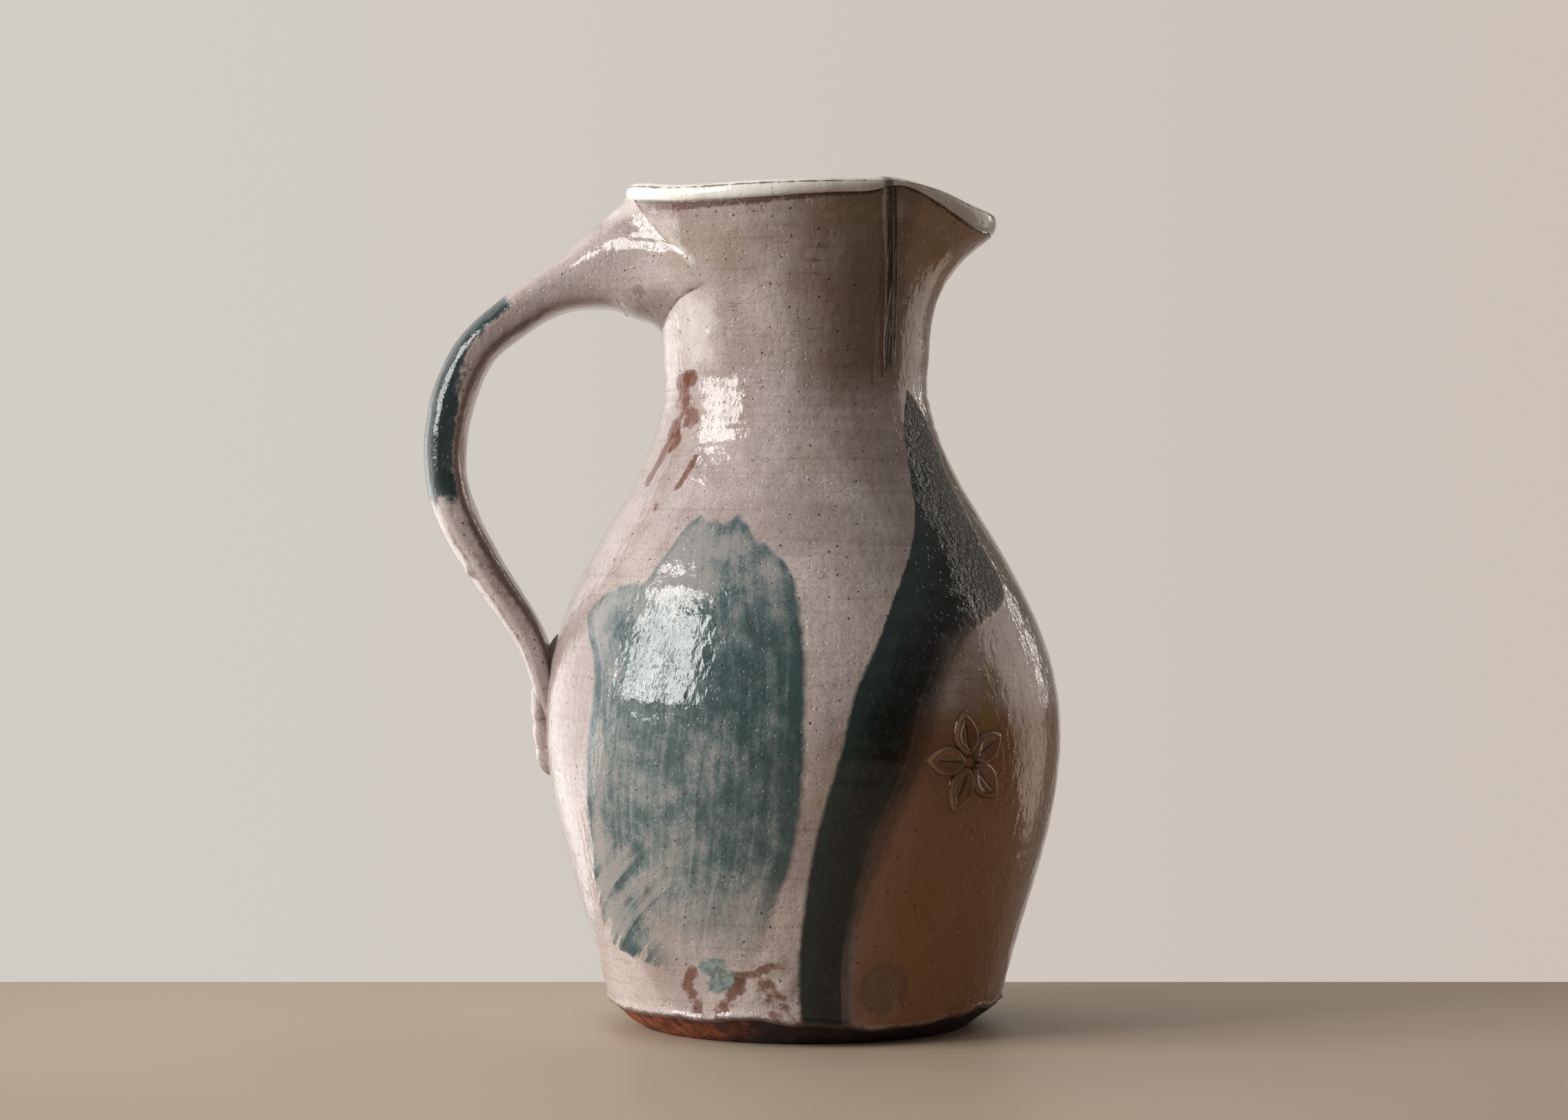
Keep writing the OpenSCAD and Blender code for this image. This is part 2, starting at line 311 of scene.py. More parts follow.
def leaf_field(theta, z):
    """Depth inside the broad leaf stroke, and the place across its bristles."""
    span = np.radians(outer_radius(z))
    left, right = (theta - leaf_left(z)) * span, (leaf_right(z) - theta) * span
    top = leaf_top(np.clip(theta, -160, -86)) - z
    across = left / np.maximum(left + right, 20)
    bottom = z - leaf_bottom(np.clip(theta, -158, -96))
    return np.minimum(np.minimum(left, right), np.minimum(top, bottom)), across * 60


def stalk_field(theta, z):
    """Depth inside the dark stalk stroke, and the place across it from 0 to 1."""
    span = np.radians(outer_radius(z))
    left, right = (theta - stalk_left(z)) * span, (stalk_right(z) - theta) * span
    across = left / np.maximum(left + right, 4)
    return np.minimum(np.minimum(left, right), 202 - z), across


# Finger marks: angle and height of both ends, radius, strength
IRON_MARKS = [
    (-151, 205, -141, 206, 2.8, 1.0),
    (-147, 199, -139, 194, 5.2, 0.66),
    (-149, 190, -146, 186, 3.6, 1.1),
    (-150, 185, -153, 174, 2.6, 0.9),
    (-130.2, 180.5, -134, 171.5, 1.5, 0.9),
    (-141.5, 166.5, -140.5, 164.8, 1.3, 0.7),
    (-136, 40, -128, 52, 1.1, 0.5),
    (-121.5, 23, -124, 18, 2.4, 0.75),
    (-124, 18, -121, 11, 2.8, 0.7),
    (-107.5, 22, -109, 17, 2.6, 0.75),
    (-109, 17, -115, 10, 3.0, 0.66),
    (-107.5, 22, -102.5, 23.5, 1.7, 0.66),
    (-102.5, 24, -98, 26, 1.8, 0.66),
    (-98, 26, -94, 25, 1.2, 0.5),
    (-101, 18, -97, 14, 5.0, 0.58),
    (-100, 9.5, -92, 9, 2.4, 0.55),
    (55, 196, 63, 201, 2.6, 0.8),
    (100, 70, 96, 76, 2.2, 0.6),
]
DROP_MARKS = [(-117, 24.5, -113, 25, 3.0, 1.0), (-115, 19, -109, 21, 3.0, 1.0)]


def from_line(theta, z, angle_a, z_a, angle_b, z_b):
    """Distance on the wall from a straight mark between two places."""
    span = np.radians(outer_radius(z))
    px, py = wrapped(theta - angle_a) * span, z - z_a
    qx, qy = wrapped(angle_b - angle_a) * span, z_b - z_a
    t = np.clip((px * qx + py * qy) / (qx * qx + qy * qy), 0, 1)
    return np.hypot(px - t * qx, py - t * qy)


def marks_field(theta, z, marks):
    """Strength of short straight marks."""
    total = 0 * z
    for *ends, radius, strength in marks:
        total = np.maximum(total, strength * np.clip(1.5 - from_line(theta, z, *ends) / radius, 0, 1))
    return total


def patch(theta, middle, half, soft=12):
    """1 within half of a middle angle, fading out past it."""
    return fade(-np.abs(wrapped(theta - middle)), -half - soft, -half)


def cream_and_light_field(theta, z):
    """Where pale is laid: cream gathered in the glaze under the rim and along the smeared root, and painted light
    on the neck's lit left and low on the lit side.
    """
    return np.maximum.reduce([
        0.9 * hump(from_line(-np.abs(theta), z, -152, 259, -134, 245), 0, 2.4),
        0.5 * hump(z, MOUTH - 6.5, 4.5),
        # Painted light: a pale glow on the neck's left towards the window, and pale low on the lit side below
        1.3 * hump(theta, -138, 17) * fade(z, 203, 212) * fade(-z, -246, -226),
        0.5 * patch(theta, -160, 22) * fade(-z, -40, -14),
    ])


groove_width = smooth_line([0, 40, 57, 75, 100, 140, 165, 180], [0.9, 0.7, 0.7, 0.9, 1.3, 2.3, 2.2, 1.2])


def paint_fields(theta, z):
    """Every field the body glaze reads, on the camera's side and, by guess, on the far side."""
    theta, z = np.broadcast_arrays(wrapped(np.asarray(theta, float)), np.asarray(z, float))
    leaf, leaf_across = leaf_field(theta, z)
    stalk, stalk_across = stalk_field(theta, z)
    far_leaf, far_leaf_across = leaf_field(wrapped(theta + 196), z - 4)
    far_stalk, far_stalk_across = stalk_field(wrapped(theta + 200), z + 2)
    leaf_across = np.where(far_leaf > leaf, far_leaf_across, leaf_across)
    stalk_across = np.where(far_stalk > stalk, far_stalk_across, stalk_across)
    under = groove_width(np.abs(theta))
    print_away = np.hypot((theta + 68.5) * 1.17, z - 18)
    return {
        "leaf": np.clip(np.maximum(leaf, far_leaf) + PAINT_REACH, 0, None),
        "leaf_across": leaf_across,
        "stalk": np.clip(np.maximum(stalk, far_stalk) + PAINT_REACH, 0, None),
        "stalk_across": stalk_across,
        "iron": marks_field(theta, z, IRON_MARKS),
        "drop": marks_field(theta, z, DROP_MARKS),
        "foot": np.clip(glaze_edge(theta) - z + 3, 0, 20),
        "cream_and_light": cream_and_light_field(theta, z),
        "groove": np.clip(1.6 - (MOUTH - z) / under, 0, 1) * fade(z, MOUTH - 12, MOUTH - 11),
        # Painted shade low on the right side, away from the window, tinted brown as by warm light thrown back onto
        # it; and orange-brown near the spout's lip
        "warm_and_shade": np.maximum.reduce([
            fade(theta, -83, -71) * fade(-theta, -52, -2) * fade(-z, -124, -84) * fade(z, 4, 9),
            0.65 * patch(theta, 0, 26) * hump(z, 252, 9),
        ]),
        # Brown on the neck, deepest on the side away from the window, and down the right shoulder away from the
        # window: partly the glaze's tone, partly painted shade. It is eased on the spout's front as painted light
        "umber_and_shade": np.maximum.reduce([
            (0.22 + 0.78 * fade(-np.abs(theta), -112, -52)) * fade(z, 192, 212) * (1 - 0.45 * patch(theta, 0, 36)),
            0.85 * patch(theta, -6, 12, 34) * fade(z, 112, 142) * fade(-z, -210, -190),
        ]),
        # Painted light: a pale orange-tan on the spout's front, which faces away from the window, stands for light
        # reflected onto it
        "amber_reflection": patch(theta, 0, 34, 16) * fade(z, 228, 246),
        "print": fade(-print_away, -8.4, -6.8),
        "print_edge": hump(print_away, 7.2, 0.8),
        "olive": hump(theta, -46.5 + (z - 105) * 0.2, 3.2) * fade(z, 92, 98) * fade(-z, -124, -112),
    }


# ---- Materials ----


class Value:
    """A node's output, which can be added, subtracted and multiplied like a number."""

    def __init__(self, graph, socket):
        self.graph, self.socket = graph, socket

    def __add__(self, other):
        return self.graph.math("ADD", self, other)

    def __sub__(self, other):
        return self.graph.math("SUBTRACT", self, other)

    def __mul__(self, other):
        return self.graph.math("MULTIPLY", self, other)


class Graph:
    """Short names for building the nodes of a material or the world. colour is what lay() has painted so far."""

    def __init__(self, owner):
        owner.use_nodes = True
        self.owner, self.tree = owner, owner.node_tree

    def put(self, value, socket):
        if isinstance(value, Value):
            self.tree.links.new(value.socket, socket)
        else:
            socket.default_value = value

    def node(self, kind, inputs, output=0, **settings):
        """One output of a new node with these inputs and settings. Output None is all of them."""
        n = self.tree.nodes.new("ShaderNode" + kind)
        for key, value in settings.items():
            setattr(n, key, value)
        for key, value in inputs.items():
            self.put(value, n.inputs[key])
        return [Value(self, socket) for socket in n.outputs] if output is None else Value(self, n.outputs[output])

    def math(self, operation, a, b=0.0):
        return self.node("Math", {0: a, 1: b}, operation=operation)

    def most(self, a, b):
        return self.math("MAXIMUM", a, b)

    def ramp(self, value, start, end, low=0.0, high=1.0):
        """low before start, high after end, smoothly between."""
        inputs = {"Value": value, "From Min": start, "From Max": end, "To Min": low, "To Max": high}
        return self.node("MapRange", inputs, interpolation_type="SMOOTHSTEP")

    def field(self, name):
        return self.node("Attribute", {}, "Fac", attribute_name=name)

    def vector(self, x, y, z):
        return self.node("CombineXYZ", {0: x, 1: y, 2: z})

    def parts(self, vector):
        return self.node("SeparateXYZ", {0: vector}, None)

    def noise(self, size, detail, rough=0.5, at=None, warp=0.0):
        """Noise from 0 to 1 with lumps about size across, in mm."""
        inputs = {"Vector": at or self.place, "Scale": 1 / size, "Detail": detail}
        inputs |= {"Roughness": rough, "Distortion": warp}
        return self.node("TexNoise", inputs, "Fac")

    def centred(self, size, detail=3):
        """Noise about zero, from -0.5 to 0.5."""
        return self.noise(size, detail, 0.6) - 0.5

    def cloud(self, size, detail, rough, start, end, low=0.0, high=1.0, **how):
        """Noise made low below start and high above end."""
        return self.ramp(self.noise(size, detail, rough, **how), start, end, low, high)

    def ragged(self, name, size, detail, amount, start, end):
        """A field made 0 below start and 1 above end, its edge broken up by noise."""
        return self.ramp(self.field(name) + self.centred(size, detail) * amount, start, end)

    def specks(self, size, share, radius, seed):
        """1 inside round specks: one in share of the cells, each up to radius of a cell's size."""
        at = self.node("VectorMath", {0: self.place, 1: (seed, seed * 1.7, -seed)}, operation="ADD")
        distance, pick, *_ = self.node("TexVoronoi", {"Vector": at, "Scale": 1 / size}, None)
        reach = self.ramp(self.parts(pick)[0], 1 - share, 1 - share * 0.25, 0.0, radius)
        return self.ramp(reach - distance, 0.0, radius * 0.3)

    def mix(self, share, a, b):
        a, b = ((*value, 1.0) if isinstance(value, tuple) else value for value in (a, b))
        return self.node("Mix", {"Factor": share, 6: a, 7: b}, 2, data_type="RGBA")

    def lay(self, share, colour):
        """Paints a colour over what is there, where share is 1."""
        self.colour = self.mix(share, self.colour, colour)


class Finish(Graph):
    """A material's graph. place is where a point lies on the object, in mm."""

    def __init__(self, name):
        super().__init__(bpy.data.materials.new(name))
        self.tree.nodes.clear()
        coordinates = self.node("TexCoord", {}, "Object")
        self.place = self.node("VectorMath", {0: coordinates, "Scale": 1 / MM}, operation="SCALE")

    def done(self, roughness, relief, depth=1.0, ior=1.5):
        """The material, once its colour is laid. relief is a height in mm, taken depth times."""
        normal = self.node("Bump", {"Strength": 1.0, "Distance": depth * MM, "Height": relief})
        inputs = {"Base Color": self.colour, "Roughness": roughness, "Normal": normal, "IOR": ior}
        surface = self.node("BsdfPrincipled", inputs)
        self.node("OutputMaterial", {"Surface": surface}, None)
        return self.owner


PINK = (0.54, 0.47, 0.45)
MAUVE = (0.365, 0.30, 0.288)
TAN = (0.34, 0.265, 0.20)
BROWN = (0.20, 0.125, 0.09)
WARM_BROWN_AND_SHADE = (0.235, 0.096, 0.021)
UMBER_AND_SHADE = (0.245, 0.172, 0.122)
UMBER_DEEP_AND_SHADE = (0.115, 0.08, 0.056)
AMBER_REFLECTION = (0.44, 0.29, 0.17)
OLIVE = (0.27, 0.20, 0.07)
CREAM_AND_LIGHT = (0.70, 0.645, 0.60)
BLUSH = (0.25, 0.13, 0.095)
LEVEL_DUST = (0.14, 0.08, 0.052)
PRINT = (0.15, 0.085, 0.07)
PRINT_EDGE = (0.075, 0.035, 0.025)
WASH = (0.265, 0.265, 0.255)
TEAL = (0.092, 0.138, 0.143)
TEAL_DEEP = (0.03, 0.068, 0.07)
DROP_PALE = (0.16, 0.26, 0.26)
DROP_DEEP = (0.05, 0.11, 0.11)
STALK_DARK = (0.0035, 0.007, 0.006)
STALK_GREEN = (0.014, 0.036, 0.033)
STALK_THIN = (0.065, 0.042, 0.028)
CRUST_AND_SHEEN = (0.034, 0.047, 0.051)
CRUST_SPECK = (0.34, 0.33, 0.26)
IRON = (0.135, 0.046, 0.022)
SPECK = (0.05, 0.028, 0.02)
GROOVE = (0.095, 0.042, 0.027)
BURNT_EDGE = (0.055, 0.028, 0.018)
CLAY = (0.42, 0.105, 0.030)
CLAY_DARK = (0.06, 0.02, 0.011)
# The darkest clay is painted shade, for the bare foot's right side away from the window
CLAY_SHADE = (0.012, 0.006, 0.004)
RIM_PALE, RIM_GREY = (0.82, 0.80, 0.75), (0.72, 0.70, 0.63)
RIM_GROOVE, RIM_ARRIS, RIM_STAIN = (0.085, 0.042, 0.028), (0.11, 0.055, 0.035), (0.17, 0.115, 0.08)
# The handle's worn brown also serves as painted shade under the strap and in the root's crease
HANDLE_TEAL, HANDLE_DEEP, HANDLE_WORN_AND_SHADE = (0.06, 0.095, 0.098), (0.007, 0.028, 0.030), (0.085, 0.045, 0.032)
SEAM_TAN, SEAM_BROWN = (0.22, 0.165, 0.12), (0.15, 0.10, 0.07)
SEAM_CHANNEL, SEAM_RIDGE = (0.038, 0.02, 0.012), (0.38, 0.32, 0.25)
PETAL_TAN, PETAL_BROWN = (0.235, 0.125, 0.062), (0.16, 0.082, 0.04)
PETAL_EDGE_SHADE, PETAL_CREST_HIGHLIGHT = (0.05, 0.022, 0.011), (0.30, 0.19, 0.11)
LINER_PALE, LINER_GREY = (0.62, 0.57, 0.50), (0.47, 0.41, 0.36)


def stoneware(g):
    """Lays the grey-pink glaze itself: broad clouds, fine mottling, level rings and grain."""
    g.colour = g.mix(g.cloud(44, 3, 0.55, 0.36, 0.66, warp=0.6), PINK, MAUVE)
    g.lay(g.cloud(27, 2, 0.5, 0.5, 0.72, warp=0.4) * 0.5, TAN)
    g.lay(g.cloud(5.5, 5, 0.65, 0.42, 0.72) * 0.35, MAUVE)
    x, y, z = g.parts(g.place)
    g.lay(g.cloud(1.4, 2, 0.5, 0.5, 0.8, at=g.vector(x * 0.03, y * 0.03, z)) * 0.3, BROWN)
    g.lay(g.cloud(0.7, 3, 0.7, 0.48, 0.75) * 0.7, BROWN)


def iron_dust(g, share):
    """Lays the iron specks in three sizes."""
    big = g.specks(2.9, 0.7, 0.18, 3)
    middling = g.specks(1.35, 0.75, 0.17, 11)
    dust = g.specks(0.8, 0.5, 0.3, 19) * g.cloud(9, 4, 0.6, 0.4, 0.66, 0.12)
    g.lay(g.most(g.most(big, dust * 0.8), middling * 0.8) * g.cloud(1.1, 2, 0.5, 0.3, 0.5, 0.35) * share, SPECK)


def orange_peel(g):
    """Height in mm of the glaze's slow ripples, pinholes and dust."""
    x, y, z = g.parts(g.place)
    slow = g.noise(7, 2, at=g.vector(x, y, z * 0.55)) * 0.34
    quick = g.noise(2.6, 3, at=g.vector(x, y, z * 0.6)) * 0.25
    pits = g.specks(1.9, 0.55, 0.34, 29) * -0.1
    return slow + quick + (pits + g.specks(2.9, 0.7, 0.18, 3) * 0.05)


def body_ground(g, x, y, z):
    """Lays everything under the body's painted strokes."""
    stoneware(g)
    # The brown field here is painted shade low on the right side, with the spout lip's orange-brown; the blush
    # below is laid only inside it, near the stalk
    brown = g.ragged("warm_and_shade", 26, 3, 0.7, 0.25, 0.8)
    # The neck's and right shoulder's brown: partly glaze tone, partly painted shade, deepened just below the neck
    umber_and_shade = g.ragged("umber_and_shade", 15, 4, 1.1, 0.1, 1)
    g.lay(umber_and_shade * 0.85, UMBER_AND_SHADE)
    g.lay(umber_and_shade * g.ramp(z, 206, 192, 0, 0.6), UMBER_DEEP_AND_SHADE)
    g.lay(brown * 0.92, WARM_BROWN_AND_SHADE)
    dust = g.cloud(1.1, 4, 0.65, 0.55, 0.68, at=g.vector(x * 0.13, y * 0.13, z), warp=0.3)
    g.lay(dust * (g.cloud(14, 3, 0.6, 0.45, 0.65) * g.ramp(z, 150, 205)) * 0.6, LEVEL_DUST)
    # Painted reflected light on the spout's front
    g.lay(g.ragged("amber_reflection", 12, 4, 1.2, 0.2, 0.9) * 0.7, AMBER_REFLECTION)
    g.lay(g.ragged("stalk", 8, 4, 14, 0, PAINT_REACH) * brown * 0.55, BLUSH)
    # Cream under the rim and by the root, with painted light on the neck's lit left and low on the lit side
    g.lay(g.ragged("cream_and_light", 9, 4, 1.8, 0.3, 1.3) * 0.6, CREAM_AND_LIGHT)
    g.lay(g.field("print") * 0.6, PRINT)
    g.lay(g.field("print_edge") * 0.45, PRINT_EDGE)
    g.lay(g.ragged("olive", 7, 3, 1.2, 0.4, 0.9) * 0.65, OLIVE)


def leaf_stroke(g, z):
    """Lays the broad leaf: an uneven teal wash with soft streaks, swept and torn at its lower left."""
    depth, across = g.field("leaf") - PAINT_REACH, g.field("leaf_across")
    streaks = g.noise(2.2, 3, 0.6, at=g.vector(across, 0, z * 0.06), warp=0.3)
    swept = g.noise(6.5, 4, 0.55, at=g.vector(across + z * -0.97, 0, z * 0.16), warp=0.2)
    left = g.ramp(across, 42, 16)
    low = g.ramp(z, 76, 44) * left
    tips = g.noise(6, 1, at=g.vector(across, 0, z * 0.02)) * g.ramp(z, 132, 158, 0, -14)
    edge = depth + g.centred(4.5, 4) * 2.4 + (tips + g.ramp(z, 132, 158, 0, 6))
    tearing = g.ramp(z, 58, 22) * g.ramp(depth, -1, 3, 0, 70)
    leaf = g.ramp(edge + (swept - 0.49) * (tearing * g.ramp(left, 0, 1, 0.3)), -0.8, 1.6)
    load = (g.mix(low, streaks, swept) - 0.5) * g.ramp(low, 0, 1, 1.25, 4.2)
    load = load + g.centred(22) * 1.35 + g.centred(6, 4) * 1.2
    load = load + (g.ramp(across, 34, 57, -0.04, 0.2) + g.ramp(z, 122, 150, 0, -0.55))
    load = load + g.centred(0.9) * 0.8 + g.ramp(depth, 7, 0.5, 0, 0.4)
    load = load + (g.ramp(z, 30, 120, 0.3, 0.54) + g.ramp(across, 16, 4, 0, -0.4))
    teal = g.mix(g.ramp(load, -0.1, 0.6), WASH, TEAL)
    teal = g.mix(g.ramp(load, 0.32, 0.95), teal, TEAL_DEEP)
    faint = g.most(g.ramp(z + g.centred(18) * 26, 17, 56), left * g.ramp(across, 42, 22))
    g.lay(leaf * (g.ramp(load, -0.6, 0.3, 0.84, 0.97) * faint), teal)
    drop = g.mix(g.cloud(2.4, 3, 0.5, 0.4, 0.6), DROP_PALE, DROP_DEEP)
    g.lay(g.ragged("drop", 3.2, 4, 1.5, 0.45, 0.85) * 0.8, drop)
    return leaf


def stalk_stroke(g, z):
    """Lays the dark stalk: green at its left edge, black along its core, thin and brown-grey at its right."""
    depth, across = g.field("stalk") - PAINT_REACH, g.field("stalk_across")
    soft = g.ramp(across, 0.4, 1, 1.4, 7) * g.ramp(g.ramp(z, 114, 140), 0, 1, 1, 0.2)
    stalk = g.ramp(depth + g.centred(3.5, 4) * 1.6, -0.6, soft)
    hairs = g.noise(0.06, 3, 0.6, at=g.vector(across, 0, z * 0.0006), warp=0.2) - 0.5
    place = across + (g.centred(17) * 0.35 + hairs * 0.4)
    thin = g.ramp(place, 0.55, 1) * g.ramp(z, 142, 122)
    green = g.ramp(place + g.centred(1.6) * 0.4, 0.42, 0.1) * g.ramp(z, 30, 110, 0.4)
    dark = g.mix(green, STALK_DARK, STALK_GREEN)
    dark = g.mix(g.ramp(g.centred(6, 4), 0, 0.25) * 0.5, dark, STALK_GREEN)
    dark = g.mix(thin, dark, STALK_THIN)
    crust_place = across + g.ramp(z, 140, 182, 0, 0.6) + g.centred(9, 4) * 0.8
    crusty = g.ramp(crust_place, 0.42, 0.62) * g.ramp(z, 126, 142) * g.ramp(depth, -0.8, 0.6)
    # The crust's lighter blue-grey: partly the crawled glaze, partly painted sheen of the wall caught in its lumps
    dark = g.mix(crusty * g.cloud(1.6, 4, 0.65, 0.32, 0.66, 0.25), dark, CRUST_AND_SHEEN)
    dark = g.mix(g.specks(1.9, 0.3, 0.12, 47) * 0.45, dark, CRUST_SPECK)
    g.lay(stalk * g.ramp(thin, 0, 1, 0.985, 0.66), dark)
    return stalk, crusty


def body_material():
    g = Finish("stoneware_glaze")
    x, y, z = g.parts(g.place)
    body_ground(g, x, y, z)
    leaf = leaf_stroke(g, z)
    stalk, crusty = stalk_stroke(g, z)

    # Iron-brown finger marks and specks over everything, and the bare brown groove below the rim
    g.lay(g.ragged("iron", 3, 5, 1.3, 0.38, 0.7) * g.ramp(g.field("iron"), 0.2, 1, 0.7, 0.94), IRON)
    iron_dust(g, 0.85)
    groove = g.ramp(g.field("groove") + g.centred(0.9, 4) * 1.8 + g.centred(6), 0.35, 0.95)
    g.lay(groove * 0.88, GROOVE)

    # The bare clay below the glaze's rolled edge, with painted shade that turns it near black towards the right,
    # away from the window
    below = g.field("foot") - 3
    bare = g.ramp(below, -0.1, 0.25)
    g.lay(g.ramp(below + g.centred(2) * 2, -2, -0.4) * g.ramp(below, 0.5, 0.1) * 0.85, BURNT_EDGE)
    clay = g.mix(g.cloud(4.5, 5, 0.65, 0.35, 0.68), CLAY, CLAY_DARK)
    g.lay(bare, g.mix(g.ramp(x + g.centred(14) * 30, -40, -8, 0, 0.95), clay, CLAY_SHADE))

    lumps = g.specks(2.4, 0.8, 0.42, 71) * 0.4 + g.cloud(1.9, 3, 0.6, 0.3, 0.7) * 0.75
    relief = orange_peel(g) + lumps * crusty + leaf * 0.05 + stalk * 0.08 + bare * (g.noise(1.6, 5, 0.75) * 0.9)
    return g.done(g.cloud(9, 3, 0.5, 0.3, 0.8, 0.05, 0.12) + (bare * 0.75 + crusty * 0.16), relief)


def rim_material():
    g = Finish("rim_glaze")
    g.colour = g.mix(g.cloud(12, 3, 0.5, 0.35, 0.7), RIM_PALE, RIM_GREY)
    g.lay(g.cloud(2.2, 4, 0.6, 0.5, 0.8) * 0.15, MAUVE)
    g.lay(g.ragged("groove", 1.3, 4, 1.4, 0.4, 0.8) * 0.9, RIM_GROOVE)
    g.lay(g.ragged("arris", 3, 4, 1.6, 0.55, 0.9) * 0.85, RIM_ARRIS)
    g.lay(g.ragged("stain", 1.6, 4, 1.2, 0.3, 0.8) * 0.85, RIM_STAIN)
    iron_dust(g, 0.35)
    return g.done(g.cloud(6, 2, 0.5, 0.3, 0.8, 0.06, 0.14), orange_peel(g), 0.7)


def handle_material():
    g = Finish("handle_glaze")
    stoneware(g)
    g.lay(g.ramp(g.parts(g.place)[0], -88, -58, 0.3, 0.12), MAUVE)
    # Cream on the root's smear, with painted light where it lies on the neck's lit left
    g.lay(g.ragged("cream_and_light", 9, 4, 1.8, 0.3, 1.3) * 0.6, CREAM_AND_LIGHT)
    teal_edge = g.field("leaf") - PAINT_REACH + g.centred(5, 4) * 7
    cover = g.ramp(teal_edge, -0.3, 1.2)
    deep = g.ramp(teal_edge + g.centred(9) * 9, -2, 3)
    g.lay(cover * 0.96, g.mix(deep, HANDLE_TEAL, HANDLE_DEEP))
    # Brown along the handle's corners and edges, with painted shade on the strap's finger side and in the crease
    # under the root's smear
    g.lay(g.ragged("edge", 2.4, 5, 1.3, 0.3, 1) * 0.8, HANDLE_WORN_AND_SHADE)
    iron_dust(g, 0.85)
    relief = orange_peel(g) + cover * 0.08 + cover * (g.noise(1.1, 2) * 0.1)
    return g.done(g.cloud(9, 3, 0.5, 0.3, 0.8, 0.06, 0.13), relief, 0.9)


def seam_material():
    g = Finish("seam_glaze")
    x, y, z = g.parts(g.place)
    g.colour = g.mix(g.cloud(16, 3, 0.5, 0.35, 0.7), SEAM_TAN, SEAM_BROWN)
    strokes = g.noise(0.8, 4, 0.6, at=g.vector(g.field("seam_across"), 0, z * 0.04), warp=0.3)
    g.lay(g.ramp(g.field("channel") + (strokes - 0.5) * 1.3, 0.25, 0.75) * 0.85, SEAM_CHANNEL)
    g.lay(g.ramp(g.field("ridge") + (strokes - 0.5) * 1.2, 0.45, 0.95) * 0.6, SEAM_RIDGE)
    iron_dust(g, 0.7)
    return g.done(0.1, orange_peel(g) + strokes * 0.35)


def flower_material():
    g = Finish("flower_glaze")
    g.colour = g.mix(g.cloud(7, 3, 0.5, 0.35, 0.7), PETAL_TAN, PETAL_BROWN)
    # Painted shade darkens each petal's rim and sunken vein; a painted highlight lightens the ridge inside its rim
    g.lay(g.ragged("edge", 1.5, 3, 1, 0.2, 1) * 0.85, PETAL_EDGE_SHADE)
    g.lay(g.ragged("crest_highlight", 2.5, 3, 1, 0.4, 1) * 0.3, PETAL_CREST_HIGHLIGHT)
    iron_dust(g, 0.6)
    return g.done(0.12, orange_peel(g), 0.5)


def liner_material():
    g = Finish("liner_glaze")
    g.colour = g.mix(g.cloud(30, 3, 0.5, 0.35, 0.7), LINER_PALE, LINER_GREY)
    iron_dust(g, 0.8)
    return g.done(0.1, orange_peel(g), 0.7)


def foot_material():
    g = Finish("bare_clay")
    x, y, z = g.parts(g.place)
    arcs = g.noise(1.6, 2, at=g.vector(x * 0.05, y + x * x * 0.004, 0))
    g.colour = g.mix(g.cloud(5, 5, 0.65, 0.35, 0.7), CLAY, CLAY_DARK)
    g.lay(g.ramp(arcs, 0.5, 0.7) * 0.4, CLAY_DARK)
    return g.done(0.88, arcs * 0.5 + g.noise(1.2, 4, 0.7) * 0.4)


BODY, RIM, HANDLE = body_material(), rim_material(), handle_material()
SEAM, FLOWER, LINER, FOOT = seam_material(), flower_material(), liner_material(), foot_material()


# ---- Belly, neck and spout ----

AROUND = np.linspace(-180, 180, 320, endpoint=False)
GLAZED, LINED, BARE = range(3)
GLAZE_THICK = 1.1


def clay_radius(theta, z):
    """The clay under the glaze: the bare bevel, then the wall less the glaze's thickness."""
    rough, top = ring(theta, 60, z), outer_radius(BEVEL_TOP)
    slope = FOOT_RADIUS + (top - GUARD - GLAZE_THICK - FOOT_RADIUS) * np.clip(z / BEVEL_TOP, 0, 1) ** 0.85
    wall = outer_radius(np.maximum(z, BEVEL_TOP)) - top
    return slope + wall + (0.22 * waves(rough, 5, 31) + 0.16 * waves(rough, 2.4, 32)) * fade(z, 0, 1.5)


